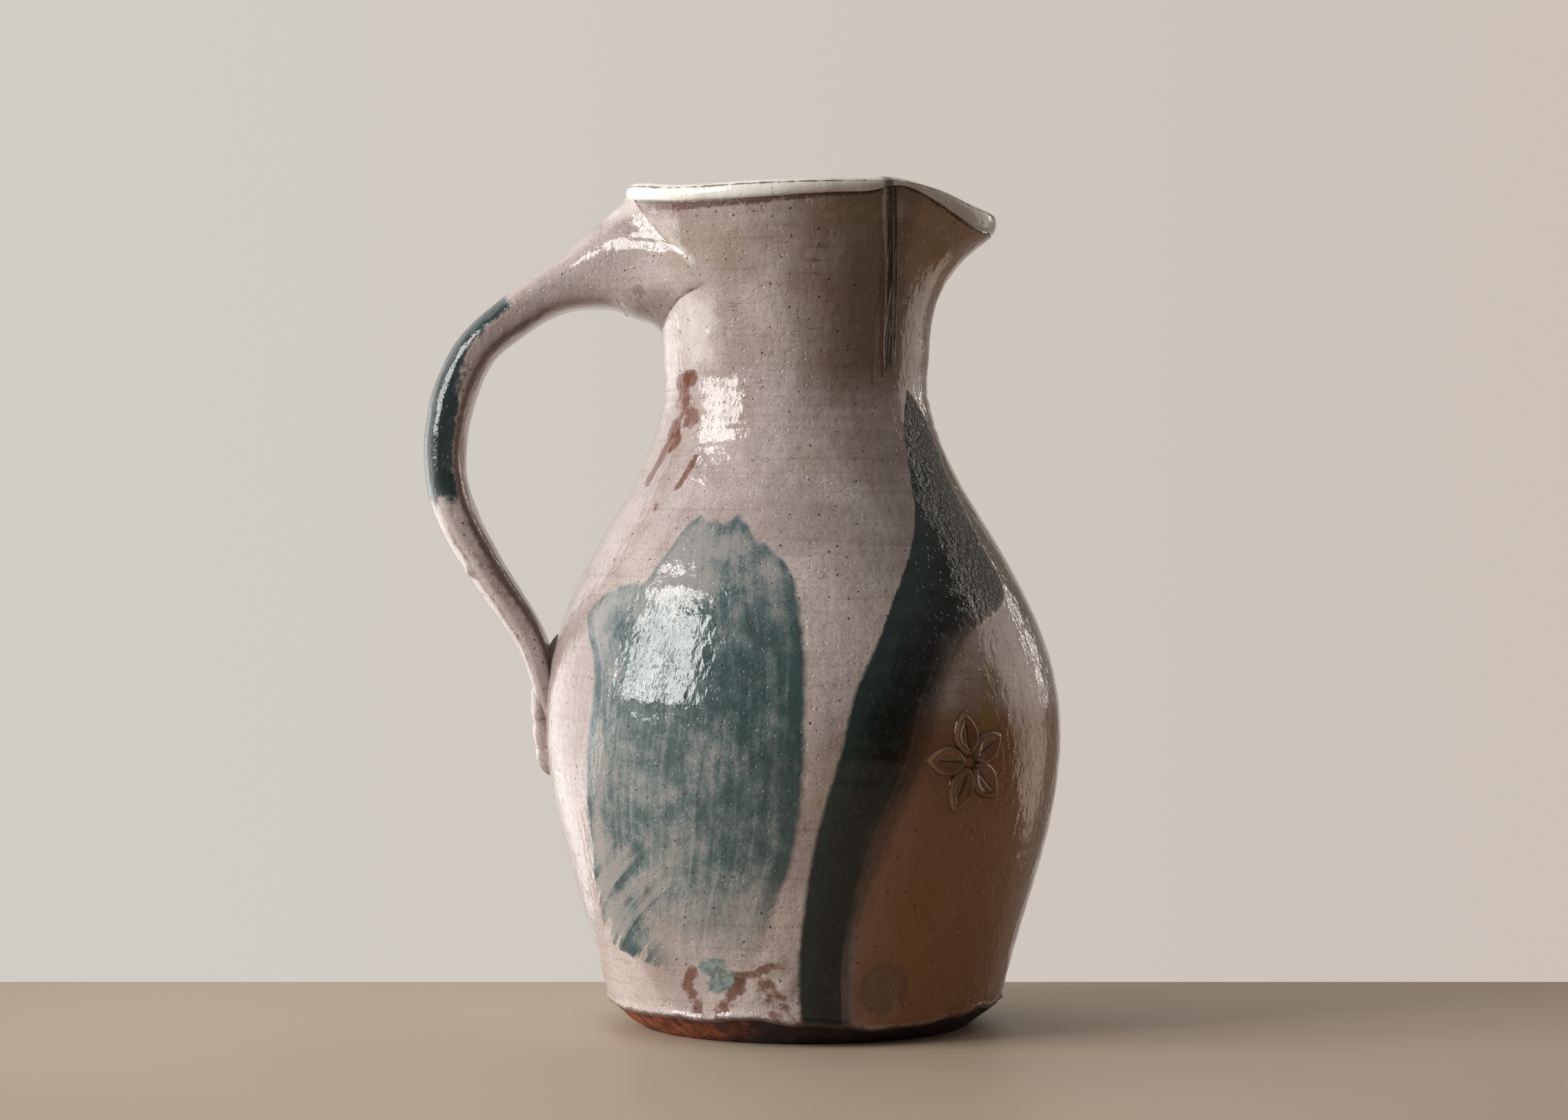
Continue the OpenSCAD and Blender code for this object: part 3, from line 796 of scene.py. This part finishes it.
def make_belly():
    rows, fields, kinds = [], [], []

    def keep(points, z, kind):
        rows.append(points)
        fields.append(paint_fields(AROUND, z))
        kinds.append(kind)

    for r in (8, 18, 28, 36, 43, 48, 51):
        keep(ring(AROUND, r, 0, lean_x(0)), 0, BARE)
    edge = glaze_edge(AROUND)
    for share in np.linspace(0, 1, 15):
        z = share * edge
        keep(ring(AROUND, clay_radius(AROUND, z), z, lean_x(0)), z, GLAZED)
    for rise in (-0.3, -0.1, 0.15, 0.45, 0.8, 1.2, 1.7, 2.3, 3.0, 3.8):
        z = edge + rise
        bead = 0.35 + 0.65 * fade(rise, -0.3, 0.6) + 0.45 * hump(rise, 1.0, 0.9)
        own = clay_radius(AROUND, z) + bead
        wall = np.hypot(*(outer(AROUND, z)[:, :2] - [lean_x(0), 0]).T)
        keep(ring(AROUND, own + (wall - own) * fade(rise, 1.6, 3.8), z, lean_x(0)), z, GLAZED)
    for level in np.linspace(13.6, COLLAR, 150):
        z = level + (edge - GLAZE_STOP) * (1 - fade(level, 12, 32))
        keep(outer(AROUND, z), z, GLAZED)
    outside, inside = outer(AROUND, COLLAR), inner(AROUND, COLLAR + COLLAR_BEVEL)
    for share in (0.34, 0.67, 1.0):
        keep(outside + (inside - outside) * share, COLLAR, LINED)
    low = FLOOR_LEVEL + FLOOR_BLEND
    for level in np.linspace(COLLAR + COLLAR_BEVEL, low, 62)[1:]:
        keep(inner(AROUND, level), level, LINED)
    corner = inner_radius(low) - GUARD
    for a in np.radians(np.linspace(12, 90, 9)):
        r, z = corner - FLOOR_BLEND * (1 - math.cos(a)), FLOOR_LEVEL + FLOOR_BLEND * (1 - math.sin(a))
        keep(ring(AROUND, r, z, lean_x(0)), 20, LINED)
    for r in (42, 34, 26, 18, 10, 4):
        keep(ring(AROUND, r, FLOOR_LEVEL + 0.25 * math.cos(r * 0.7), lean_x(0)), 20, LINED)

    columns, count = len(AROUND), len(rows)
    points = np.concatenate([stacked(rows), [[lean_x(0), 0, 0]], [[lean_x(0), 0, FLOOR_LEVEL]]])
    under, top, last = count * columns, count * columns + 1, (count - 1) * columns
    fans = [(under, (c + 1) % columns, c) for c in range(columns)]
    fans += [(top, last + c, last + (c + 1) % columns) for c in range(columns)]
    joined = {key: np.concatenate([row[key] for row in fields] + [[0, 0]]) for key in fields[0]}
    material_of = np.repeat(kinds[1:] + [BARE, LINED], columns)
    quads = grid_quads(count, columns, join_columns=True)
    make_piece("belly_wall", "belly", [BODY, LINER, FOOT], points, quads, fans, joined, material_of)


def make_wall(name, node, angles):
    """A stretch of the collar's wall between two angles: the neck, or the spout."""
    levels = np.linspace(COLLAR, MOUTH, 52)
    rows = [outer(angles, level) for level in levels]
    fields = [paint_fields(angles, level) for level in levels]
    outside, inside = outer(angles, MOUTH), inner(angles, INNER_TOP)
    rows += [outside + (inside - outside) * share for share in (0.33, 0.67)]
    rows += [inner(angles, level) for level in np.linspace(INNER_TOP, COLLAR + COLLAR_BEVEL, 32)]
    inside, outside = inner(angles, COLLAR + COLLAR_BEVEL), outer(angles, COLLAR)
    rows += [inside + (outside - inside) * share for share in (0.33, 0.67)]
    columns, count = len(angles), len(rows)
    fields += [paint_fields(angles, MOUTH)] * (count - len(levels))
    joined = {key: np.concatenate([row[key] for row in fields]) for key in fields[0]}
    kinds = [GLAZED] * len(levels) + [LINED] * (count - len(levels))
    material_of = np.concatenate([np.repeat(kinds[1:] + kinds[:1], columns - 1), [LINED, LINED]])
    make_band(name, node, [BODY, LINER], rows, joined, material_of)


# Section of the rim's roll: (out from the wall's outer face, up along the wall)
RIM_SECTION = [
    (0.0, 0.0), (-0.5, 0.45), (0.2, 1.0), (1.0, 1.9), (1.25, 3.2), (1.0, 4.6), (0.25, 5.7), (-1.1, 6.3),
    (-2.9, 6.2), (-4.7, 5.4), (-5.7, 3.9), (-5.8, 2.2), (-5.4, 0.8), (-5.0, 0.0),
]


def make_rim(name, node, angles):
    """The rolled rim between two angles, over the neck or along the spout's lip."""
    section = np.array(RIM_SECTION)
    steps = np.concatenate([[0], np.cumsum(np.hypot(*np.diff(section, axis=0).T))])
    along = np.linspace(0, steps[-1], 44)
    foot, head = outer(angles, MOUTH), inner(angles, INNER_TOP)
    across = (foot - head) / 5
    upward = np.cross(across / np.linalg.norm(across, axis=1)[:, None] + ring(angles), ring(angles + 90))
    upward *= np.sign(upward[:, 2:3]) / np.linalg.norm(upward, axis=1)[:, None]
    tall = rim_height(np.abs(wrapped(angles)))
    swell = (tall / 6.6 * (1 + 0.03 * waves(foot, 18, 41)))[:, None]
    bulge = 0.2 + 0.8 * fade(tall, 1.5, 5.0)[:, None]
    outs, ups = (smooth_line(steps, line)(along) for line in section.T)
    rows = []
    for s, out, up in zip(along, outs, ups):
        ripple = 0.09 * waves(foot + [0, 0, 3 * s], 9, 42)[:, None] * fade(min(s, steps[-1] - s), 0, 2)
        rows.append(foot + across * (out * (bulge if out > 0 else 1) + ripple) + upward * up * swell)
    rows += [head + (foot - head) * share for share in (0.25, 0.5, 0.75)]
    columns, count = len(angles), len(rows)
    s, even = np.concatenate([along, [99.0] * 3]), np.ones(columns)
    fields = {
        "groove": np.outer(hump(s, 0.2, 1.0), even),
        "arris": np.outer(hump(s, steps[6] + 0.3, 0.6), even),
        "stain": np.outer(np.ones(count), hump(np.abs(wrapped(angles)), 57.8, 2.4)),
    }
    make_band(name, node, [RIM], rows, fields)


# ---- Handle ----

# Middle line of the strap: x, z, thickness, width, from inside the neck to inside the belly
STRAP = np.array([
    (-41, 244, 37, 38), (-50, 244, 36.5, 38), (-60, 243, 30.5, 35), (-69, 240, 21.8, 30), (-80, 235.5, 15.8, 27),
    (-92, 227.5, 13, 25.5), (-103, 218.2, 12.4, 25), (-111, 203.5, 12.8, 25), (-114.4, 186.5, 12.4, 25),
    (-112.8, 169, 11.8, 25), (-105.2, 152.5, 11, 24.5), (-94.8, 136, 10.4, 24), (-86.2, 121.5, 9.7, 24),
    (-82.6, 109, 8.4, 25), (-79, 96, 7.4, 21),
])
strap_steps = np.concatenate([[0], np.cumsum(np.hypot(*np.diff(STRAP[:, :2], axis=0).T))])
NUB_ALONG = float(np.interp(-147.5, -STRAP[7:, 1], strap_steps[7:]))
strap_x, strap_z, strap_thick, strap_wide = (smooth_line(strap_steps, STRAP[:, i]) for i in range(4))


def strap_point(s, phi):
    """A point on the strap: s mm along it, phi degrees round it. 0 is its back and 180 its finger side."""
    s, phi = np.broadcast_arrays(np.asarray(s, float), np.asarray(phi, float))
    run = np.stack([strap_x(s + 0.5) - strap_x(s - 0.5), strap_z(s + 0.5) - strap_z(s - 0.5)])
    run_x, run_z = run / np.linalg.norm(run, axis=0)
    c, d = np.cos(np.radians(phi)), np.sin(np.radians(phi))
    squareness = np.where(c > 0, 2.15, 4.2)
    deep = strap_thick(s) / 2 * np.sign(c) * np.abs(c) ** (2 / squareness)
    wide = strap_wide(s) / 2 * np.sign(d) * np.abs(d) ** (2 / np.where(c > 0, 2.3, 4.2))
    middle = fade(s, 30, 60) * fade(-s, -strap_steps[-1] + 5, -strap_steps[-1] + 40)
    back = fade(c, 0.05, 0.6) * middle
    off = np.abs(wide)
    deep = deep + back * (0.75 * hump(wide, 0, 1.9) - 0.5 * hump(off, 4.6, 1.9) + 0.25 * hump(off, 8.6, 1.6))
    deep = deep - middle * 0.5 * fade(-c, 0.3, 0.9) * hump(wide, 0, 6)
    spot = np.stack([strap_x(s) + run_z * deep, wide, strap_z(s) - run_x * deep], -1)
    swell = 0.22 * waves(spot, 26, 51) + 0.1 * waves(spot, 8, 52) + 0.04 * waves(spot, 3.5, 53)
    swell = swell + 1.3 * hump(np.hypot(s - NUB_ALONG, 1.2 * (wide + 8.5)), 0, 1.9) * (c > 0)
    out = np.stack([run_z * c, d, -run_x * c], -1)
    return spot + out * (swell * (0.35 + 0.65 * middle))[..., None]


def make_handle():
    """The strap. Each line along it starts hidden in the neck's wall."""
    phis = np.linspace(0, 360, 72, endpoint=False)
    tries = np.linspace(4, 24, 81)
    starts = []
    for phi in phis:
        points = strap_point(tries, phi)
        hidden = lean_x(points[:, 2]) - inner_radius(np.minimum(points[:, 2], INNER_TOP)) - 2.0
        starts.append(tries[int(np.argmax(points[:, 0] <= hidden))])
    share = np.linspace(0, 1, 250)[:, None]
    s = np.array(starts) * (1 - share) + (strap_steps[-1] - 1) * share
    phi = np.broadcast_to(phis, s.shape)
    z, c = strap_z(s), np.cos(np.radians(phi))
    edge = hump(np.minimum(np.abs(phi - 128), np.abs(phi - 232)), 0, 19) * fade(s, 30, 55)
    edge += 0.55 * hump(np.minimum(np.abs(phi - 58), np.abs(phi - 302)), 0, 8) * fade(s, 40, 80)
    # Painted shade: brown on the finger side about 143 mm up, which faces the belly away from the window; and a
    # little brown all round the strap low down
    edge += 0.68 * hump(z, 143, 17) * fade(-c, -0.55, 0.2) + 0.25 * fade(-z, -118, -98)
    along = np.minimum((229 - z) * 1.15, (z - 167) * 0.6)
    teal = np.where(s > 28, np.minimum(along, (c - 0.1 + 0.42 * fade(-z, -222, -190)) * 9), -PAINT_REACH)
    fields = {"edge": edge, "leaf": np.clip(teal + PAINT_REACH, 0, None)}
    make_tube("handle_strap", "handle", HANDLE, strap_point(s, phi), fields)


# Outline of the smear on the neck against the angle round the strap: mm round the neck, and height
SMEAR_TURNS = [0, 18, 35, 55, 74, 86, 92, 99, 112, 130, 155, 180]
smear_across = smooth_line(SMEAR_TURNS, [0, 7, 13, 20, 33, 39, 41, 39, 30, 21, 9, 0])
smear_up = smooth_line(
    SMEAR_TURNS, [267.5, 267, 264.5, 258, 247.5, 241.5, 238.5, 236.3, 233.3, 229.5, 223.5, 221.5]
)


def make_root_smear():
    """The coil of clay smeared round the handle's root, thin at both edges, drawn out round the neck."""
    phis = np.linspace(0, 360, 160, endpoint=False)
    steps = np.linspace(4, 70, 500)
    side = np.abs(np.sin(np.radians(phis)))
    round_top = np.maximum(np.cos(np.radians(phis)), 0)
    low = fade(-np.cos(np.radians(phis)), -0.2, 1)
    strap_reach = 8 + 6 * side + 5 * low + 7 * round_top
    degree = math.pi / 180 * 45  # mm round the neck

    def unrolled(p):
        """Points as mm round the neck from the handle, height on the level neck and mm proud of its wall."""
        theta = np.degrees(np.arctan2(p[:, 1], p[:, 0] - lean_x(p[:, 2])))
        level = p[:, 2] - sag(theta, np.clip((p[:, 2] - COLLAR) / (MOUTH - COLLAR), 0, 1))
        gap = np.hypot(p[:, 0] - lean_x(p[:, 2]), p[:, 1]) - outer_radius(np.minimum(level, MOUTH)) + GUARD
        return np.stack([(theta % 360 - 180) * degree, level, gap], -1)

    def rolled(q):
        angle = 180 + q[:, 0] / degree
        above = np.clip(q[:, 1] - MOUTH, 0, None)
        return outer(angle, np.minimum(q[:, 1], MOUTH)) + ring(angle, q[:, 2] + 1.15 * fade(above, 0, 3), above)

    lines = [strap_point(steps, phi) for phi in phis]
    firsts = [int(np.argmax(unrolled(line)[:, 2] > 0)) for line in lines]
    c = unrolled(np.array([line[i] for line, i in zip(lines, firsts)]))
    c[:, 2] += 0.25 + 3.8 * round_top**1.5
    half_turn = 180 - np.abs(wrapped(phis + 180))
    n = np.stack([-smear_across(half_turn) * np.sign(wrapped(phis)), smear_up(half_turn), 0 * phis], -1)
    n[:, :2] += 0.35 * waves(n, 5, 62)[:, None]
    h = unrolled(strap_point(steps[firsts] + strap_reach, phis))

    def between(s):
        """From the smear's edge on the neck at 0, by the corner, to its edge on the strap at 1."""
        return (1 - s) ** 2 * n + 2 * s * (1 - s) * c + s**2 * h

    rows, edges, creams_and_light = [], [], []
    wide = fade(half_turn, 20, 45) * fade(-half_turn, -150, -125)
    for s in np.linspace(0, 1, 30):
        q, hill = between(s), math.sin(math.pi * s)
        folds = 0.2 * hump(s, 0.12, 0.1) + 0.07 * waves(q * [1, 1, 0], 9, 61) * hill
        q[:, 2] += 0.3 * hill - 0.12 * (1 - s) + folds * wide
        rows.append(rolled(q))
        # Dark lines on the smear's lower side only: painted shade in the crease under the strap, and a brown line
        # along its edge on the neck
        crease_shade = 0.6 * hump(s, 0.72, 0.14) * fade(-half_turn, -150, -120)
        edges.append((0.7 * hump(s, 0.03, 0.07) * side + crease_shade) * fade(half_turn, 94, 102))
        upper = hump(s, 0.02, 0.13) * fade(half_turn, 30, 45) * fade(-half_turn, -92, -84)
        # The neck's cream, with its painted light, carried onto the smear
        own = cream_and_light_field(wrapped(180 + q[:, 0] / degree), q[:, 1]) * fade(-s, -0.7, -0.2)
        creams_and_light.append(np.maximum.reduce([0.5 * upper, fade(q[:, 1], 255, 262), own]))
    for share in (0.9, 0.5, 0.1):
        q = between(share)
        q[:, 2] -= 1.6 + 0.5 * (share > 0.4)
        rows.append(rolled(q))
        edges.append(0 * side)
        creams_and_light.append(0 * side)
    quads = grid_quads(len(rows), len(phis), True, True)
    fields = {"edge": edges, "cream_and_light": creams_and_light, "leaf": np.zeros((len(rows), len(phis)))}
    make_piece("handle_root_smear", "handle_root_pad", [HANDLE], stacked(rows), quads, [], fields)


def make_pad(name, node, material, angle, level, outline, height, extra, root, sides, rings):
    """A pad pressed on the wall. outline(turn) is its edge in mm along and up the wall. height(share, a, b) is how
    proud it stands, and extra holds its fields, share of the way out from the middle, at a along and b up."""
    edge = outline(np.linspace(0, 2 * math.pi, sides, endpoint=False))
    centre = edge.mean(0)
    rows, fields = [], {key: [] for key in extra}
    for i, share in enumerate(np.concatenate([[0.02, 1.0], 1 - np.linspace(0, 1, rings + 1)[:-1] ** 1.35, [0.03]])):
        a, b = (centre + (edge - centre) * share).T
        proud = -root if i < 2 else height(share, a, b)[:, None]
        theta = angle + a / np.radians(outer_radius(level))
        here = outer(theta, level + b)
        normal = np.cross(outer(theta + 0.5, level + b) - here, outer(theta, level + b + 0.5) - here)
        rows.append(here + normal / np.linalg.norm(normal, axis=1)[:, None] * proud)
        for key in extra:
            fields[key].append(extra[key](share, a, b) + 0 * a)
    make_tube(name, node, material, rows, fields)


def make_tail():
    """The pinched tail of clay below the strap, crumpled, with a thin fin at its lower end."""
    half_width = smooth_line([0, 3, 9, 18, 30, 40, 46], [0.3, 2.2, 5.5, 10.2, 11.6, 8.5, 2.5])
    proud_line = smooth_line([0, 1.5, 4, 9, 18, 27, 36, 46], [0.6, 2.2, 3.0, 3.7, 4.8, 5.4, 3.6, 1.2])

    def swell(a, b, size, seed):
        return waves(np.stack([a, b, 0 * a], -1), size, seed)

    def outline(turn):
        up = 23 - 23 * np.cos(turn)
        wide = half_width(up) * np.sign(np.sin(turn))
        return np.stack([wide * (1 + 0.09 * swell(wide, up, 9, 74)), up], -1)

    def height(share, a, b):
        side = np.clip(1 - (np.abs(a) / np.maximum(half_width(b), 0.5)) ** 2, 0, 1)
        folds = (0.5 * swell(a, b, 11, 71) + 0.35 * np.abs(swell(a, b, 6, 72)) - 0.2) * (share < 0.99)
        return proud_line(b) * (0.16 + 0.84 * side**0.55) * (1 - share**12 * 0.9) + folds * (0.4 + 0.6 * side)

    extra = {
        "edge": lambda share, a, b: 0.6 * fade(share, 0.72, 1.0) + 0.18 * swell(a, b, 9, 73),
        "leaf": lambda share, a, b: 0 * a,
    }
    make_pad(
        "handle_tail_pinch", "handle_tail", HANDLE, 180, 79, outline, height, extra,
        root=1.5, sides=120, rings=34,
    )


# ---- Flower ----

FLOWER_ANGLE, FLOWER_LEVEL = -52.6, 87.6
# Direction on the wall, length and width of each petal
PETALS = [(31, 14.2, 9.6), (100, 14.4, 9.6), (177, 15.0, 9.4), (250, 15.0, 10.0), (318, 15.6, 10.2)]
PETAL_START = 1.4


def make_petal(index, direction, length, width):
    way = np.array([math.cos(math.radians(direction)), math.sin(math.radians(direction))])
    side = np.array([-way[1], way[0]])

    def outline(turn):
        share = (1 - np.cos(turn)) / 2
        half = width / 2 * np.sin(math.pi * share**0.85) ** 0.75 * np.sign(np.sin(turn))
        return (PETAL_START + length * share)[:, None] * way + half[:, None] * side

    def along(a, b):
        return (a * way[0] + b * way[1] - PETAL_START) / length

    def vein(a, b, wide):
        return hump(a * side[0] + b * side[1], 0, wide) * fade(-along(a, b), -0.85, -0.6)

    def height(share, a, b):
        dish = 0.5 + 0.5 * fade(share, 0.4, 0.82)
        return 1.45 * dish * (1 - share**7) - 0.4 * vein(a, b, 0.55) * fade(along(a, b), 0.05, 0.25) + 0.02

    # Where painted shade falls on the petal's rim and vein, and where a painted highlight lies on its ridge
    extra = {
        "edge": lambda share, a, b: fade(share, 0.86, 1.0) + vein(a, b, 0.5),
        "crest_highlight": lambda share, a, b: hump(share, 0.8, 0.1),
    }
    make_pad(
        f"flower_petal_{index}", "flower_petals", FLOWER, FLOWER_ANGLE, FLOWER_LEVEL, outline,
        height, extra, root=0.8, sides=72, rings=16,
    )


# ---- Seams beside the spout ----

# Where the strip's edges stand along the spout's direction, so that it falls straight whatever the wall does
seam_back = smooth_line([203, 212, 224, 238, 264], [19.0, 19.6, 21.0, 23.4, 24.4])
SEAM_FRONT = 30.4


def angle_out(x, level, hand):
    """The angle at which the wall stands x mm out towards the spout."""
    angles = np.linspace(20, 80, 241)
    return float(np.interp(-x, -outer(hand * angles, level)[:, 0], angles))


def make_seam(name, hand):
    """The scored strip that closes the join between neck and spout. hand is -1 on the camera's side."""
    levels, shares = np.linspace(COLLAR + 0.3, MOUTH + 0.6, 120), np.linspace(0, 1, 44)
    top_rows, low_rows, across, channel, ridge = [], [], [], [], []
    for level in levels:
        back = angle_out(seam_back(level), min(level, MOUTH), hand)
        front = angle_out(SEAM_FRONT + 0.25 * math.sin(level / 9), min(level, MOUTH), hand)
        theta = hand * (back + (front - back) * shares)
        here = outer(theta, min(level, MOUTH)) + [0, 0, max(level - MOUTH, 0)]
        out = ring(theta)
        width = float(np.linalg.norm(here[-1] - here[0]))
        mm = shares * width
        low = np.stack([mm, 0 * mm, 0 * mm + level * 0.05], -1)
        broken = 0.5 + 0.5 * waves(np.stack([mm * 0.6, 0 * mm, 0 * mm + level], -1), 11, 84)
        lower = float(fade(-level, -246, -222))
        # Three ridges scored along the strip, each broken in places
        first = hump(mm, width - 6.1 + 0.3 * math.sin(level / 6), 0.45) * (0.35 + 0.65 * broken)
        second = hump(mm, width - 9.4 + 0.4 * math.sin(level / 5 + 1), 0.5) * lower * (1 - 0.8 * broken)
        third = hump(mm, width - 2.6 + 0.2 * math.sin(level / 8), 0.3) * (0.4 + 0.4 * broken)
        reach = 4.8 + 0.8 * lower
        trough = fade(mm, width - reach - 0.5, width - reach + 0.4) * fade(-mm, 0.5 - width, 1.2 - width)
        taper = fade(shares, 0, 0.15 + 0.3 * lower) * fade(-shares, -1, -0.93)
        end = fade(level + 2.4 * waves(low * [1, 1, 0], 3.5, 82), COLLAR + 1.2, COLLAR + 3)
        scores = 0.6 * first + 0.45 * second + 0.35 * third + 0.11 * waves(low, 1.0, 81) + 0.06 * waves(low, 5, 83)
        proud = -0.25 + (0.25 + np.maximum(0.16 + scores - 0.16 * trough, 0.03)) * taper * end
        top_rows.append(here + out * proud[:, None])
        low_rows.append(here - out * 1.3)
        across.append(mm)
        channel.append(trough)
        ridge.append((first + second + 0.6 * third) * taper)
    rows, columns = len(levels), len(shares)
    quads = grid_quads(rows, columns)
    last = (rows - 1) * columns
    rim = [*range(columns), *range(2 * columns - 1, rows * columns, columns)]
    rim += [*range(last + columns - 2, last - 1, -1), *range(last - columns, 0, -columns)]
    sides = [(a, a + rows * columns, b + rows * columns, b) for a, b in zip(rim, rim[1:] + rim[:1])]
    quads = np.concatenate([quads, quads[:, ::-1] + rows * columns])
    fields = {"seam_across": across * 2, "channel": channel * 2, "ridge": ridge * 2}
    make_piece(name, "spout_seams", [SEAM], stacked(top_rows + low_rows), quads, sides, fields)


# ---- Floor, light and camera ----

FLOOR_NEAR, FLOOR_FAR = (0.44, 0.35, 0.265), (0.12, 0.09, 0.065)
FLOOR_HALF, FLOOR_BACK = 2.5, 0.1
BACKDROP_LEFT, BACKDROP_RIGHT = (0.645, 0.617, 0.571), (0.61, 0.533, 0.479)
GLOW_LOW, GLOW_HIGH = (2.4, 2.35, 2.3), (1.35, 1.3, 1.27)
SHADE_RIGHT, GLOW_RIGHT = (0.24, 0.21, 0.185), (1.35, 1.17, 1.03)
ROOM_LOW, ROOM_HIGH, ROOM_LEFT = (0.10, 0.085, 0.075), (0.30, 0.28, 0.26), (1.0, 0.98, 0.96)
SLIT = (7.5, 6.9, 6.3)
WINDOW_COLOUR, WINDOW_HEIGHT, WINDOW_AWAY, WATTS_PER_METRE = (1.0, 0.985, 0.96), 1.25, 2.1, 52
PANES = ((-0.54, 0.2), (-0.14, 0.40), (0.40, 0.44))  # how far along the window and how wide each pane is, in metres


def make_floor():
    mesh = bpy.data.meshes.new("floor")
    corners = [(x, y, 0) for x, y in (
        (-FLOOR_HALF, -FLOOR_HALF), (FLOOR_HALF, -FLOOR_HALF), (FLOOR_HALF, FLOOR_BACK), (-FLOOR_HALF, FLOOR_BACK)
    )]
    mesh.from_pydata(corners, [], [(0, 1, 2, 3)])
    g = Finish("pale_floor")
    x, y, z = g.parts(g.place)
    # Painted light: a pale pool round the pitcher, darkening to dim brown from 190 to 620 mm away
    g.colour = g.mix(g.ramp(g.math("SQRT", x * x + y * y), 190.0, 620.0), FLOOR_NEAR, FLOOR_FAR)
    mesh.materials.append(g.done(0.5, g.noise(3, 2), 0.02, ior=1.4))
    floor = bpy.data.objects.new("floor", mesh)
    bpy.context.scene.collection.objects.link(floor)


def make_world():
    """A pale wall behind the pitcher, brighter at its ends, with one bright slit, and a dim room in front."""
    world = bpy.data.worlds.new("studio")
    bpy.context.scene.world = world
    g = Graph(world)
    x, y, z = g.parts(g.node("TexCoord", {}, "Generated"))
    g.colour = g.mix(g.ramp(x, -0.25, 0.25), BACKDROP_LEFT, BACKDROP_RIGHT)
    g.lay(g.ramp(x, -0.3, -0.62), g.mix(g.ramp(z, -0.1, 0.3), GLOW_LOW, GLOW_HIGH))
    g.lay(g.ramp(x, 0.26, 0.38), SHADE_RIGHT)
    g.lay(g.ramp(x, 0.64, 0.76), GLOW_RIGHT)
    room = g.mix(g.ramp(z, 0.2, 0.9), ROOM_LOW, ROOM_HIGH)
    room = g.mix(g.ramp(x, -0.88, -0.97), room, ROOM_LEFT)
    dimmer = z * 0.35 - 0.15 + g.ramp(z, 0.36, 0.56, 0.0, -1.5)
    g.colour = g.mix(g.ramp(y + g.ramp(x, 0.0, 0.3) * dimmer, 0.06, 0.20), room, g.colour)
    slit = g.ramp(g.math("ABSOLUTE", g.math("ARCTAN2", y, x) - 0.86), 0.034, 0.014)
    g.lay(slit * (g.ramp(z, 0.0, 0.12) * g.ramp(z, 0.72, 0.55)), SLIT)
    g.put(g.colour, g.tree.nodes["Background"].inputs["Color"])


def make_window():
    """A tall window in three panes, left of the camera and a little in front of the pitcher."""
    way, side = np.array([-0.86, -0.33, 0.40]), np.array([0.36, -0.93, 0.0])
    for i, (offset, width) in enumerate(PANES):
        light = bpy.data.lights.new(f"window_{i}", "AREA")
        light.shape, light.size, light.size_y = "RECTANGLE", width, WINDOW_HEIGHT
        light.energy, light.color = WATTS_PER_METRE * width, WINDOW_COLOUR
        lamp = bpy.data.objects.new(f"window_{i}", light)
        place = way * WINDOW_AWAY + side * offset + [0, 0, 0.1]
        lamp.location = place
        x, y, z = np.array([0, 0, 0.12]) - place
        lamp.rotation_euler = (math.atan2(math.hypot(x, y), -z), 0, math.atan2(x, -y) + math.pi)
        bpy.context.scene.collection.objects.link(lamp)


def make_camera():
    """The camera stands where the photo's did. Its shift only frames the picture."""
    bpy.context.scene.view_settings.view_transform = "Standard"
    data = bpy.data.cameras.new("camera")
    data.sensor_width, data.lens, data.shift_y = 36, 77.6, -0.0026
    camera = bpy.data.objects.new("camera", data)
    camera.location = (-0.0053, -1.09, 0.150)
    camera.rotation_euler = (math.radians(90), 0, 0)
    bpy.context.scene.collection.objects.link(camera)
    bpy.context.scene.camera = camera


NECK_ENDS, SPOUT_ENDS = (SPOUT_HALF, 360 - SPOUT_HALF), (-SPOUT_HALF, SPOUT_HALF)
make_belly()
make_wall("neck_wall", "neck", np.linspace(*NECK_ENDS, 170))
make_wall("spout_wall", "spout", np.linspace(*SPOUT_ENDS, 110))
make_rim("rim_roll_band", "rim_roll", np.linspace(*NECK_ENDS, 190))
make_rim("spout_lip", "spout", np.linspace(*SPOUT_ENDS, 120))
make_handle()
make_root_smear()
make_tail()
make_seam("seam_strip_near", -1)
make_seam("seam_strip_far", 1)
for number, petal in enumerate(PETALS):
    make_petal(number, *petal)
make_floor()
make_world()
make_window()
make_camera()
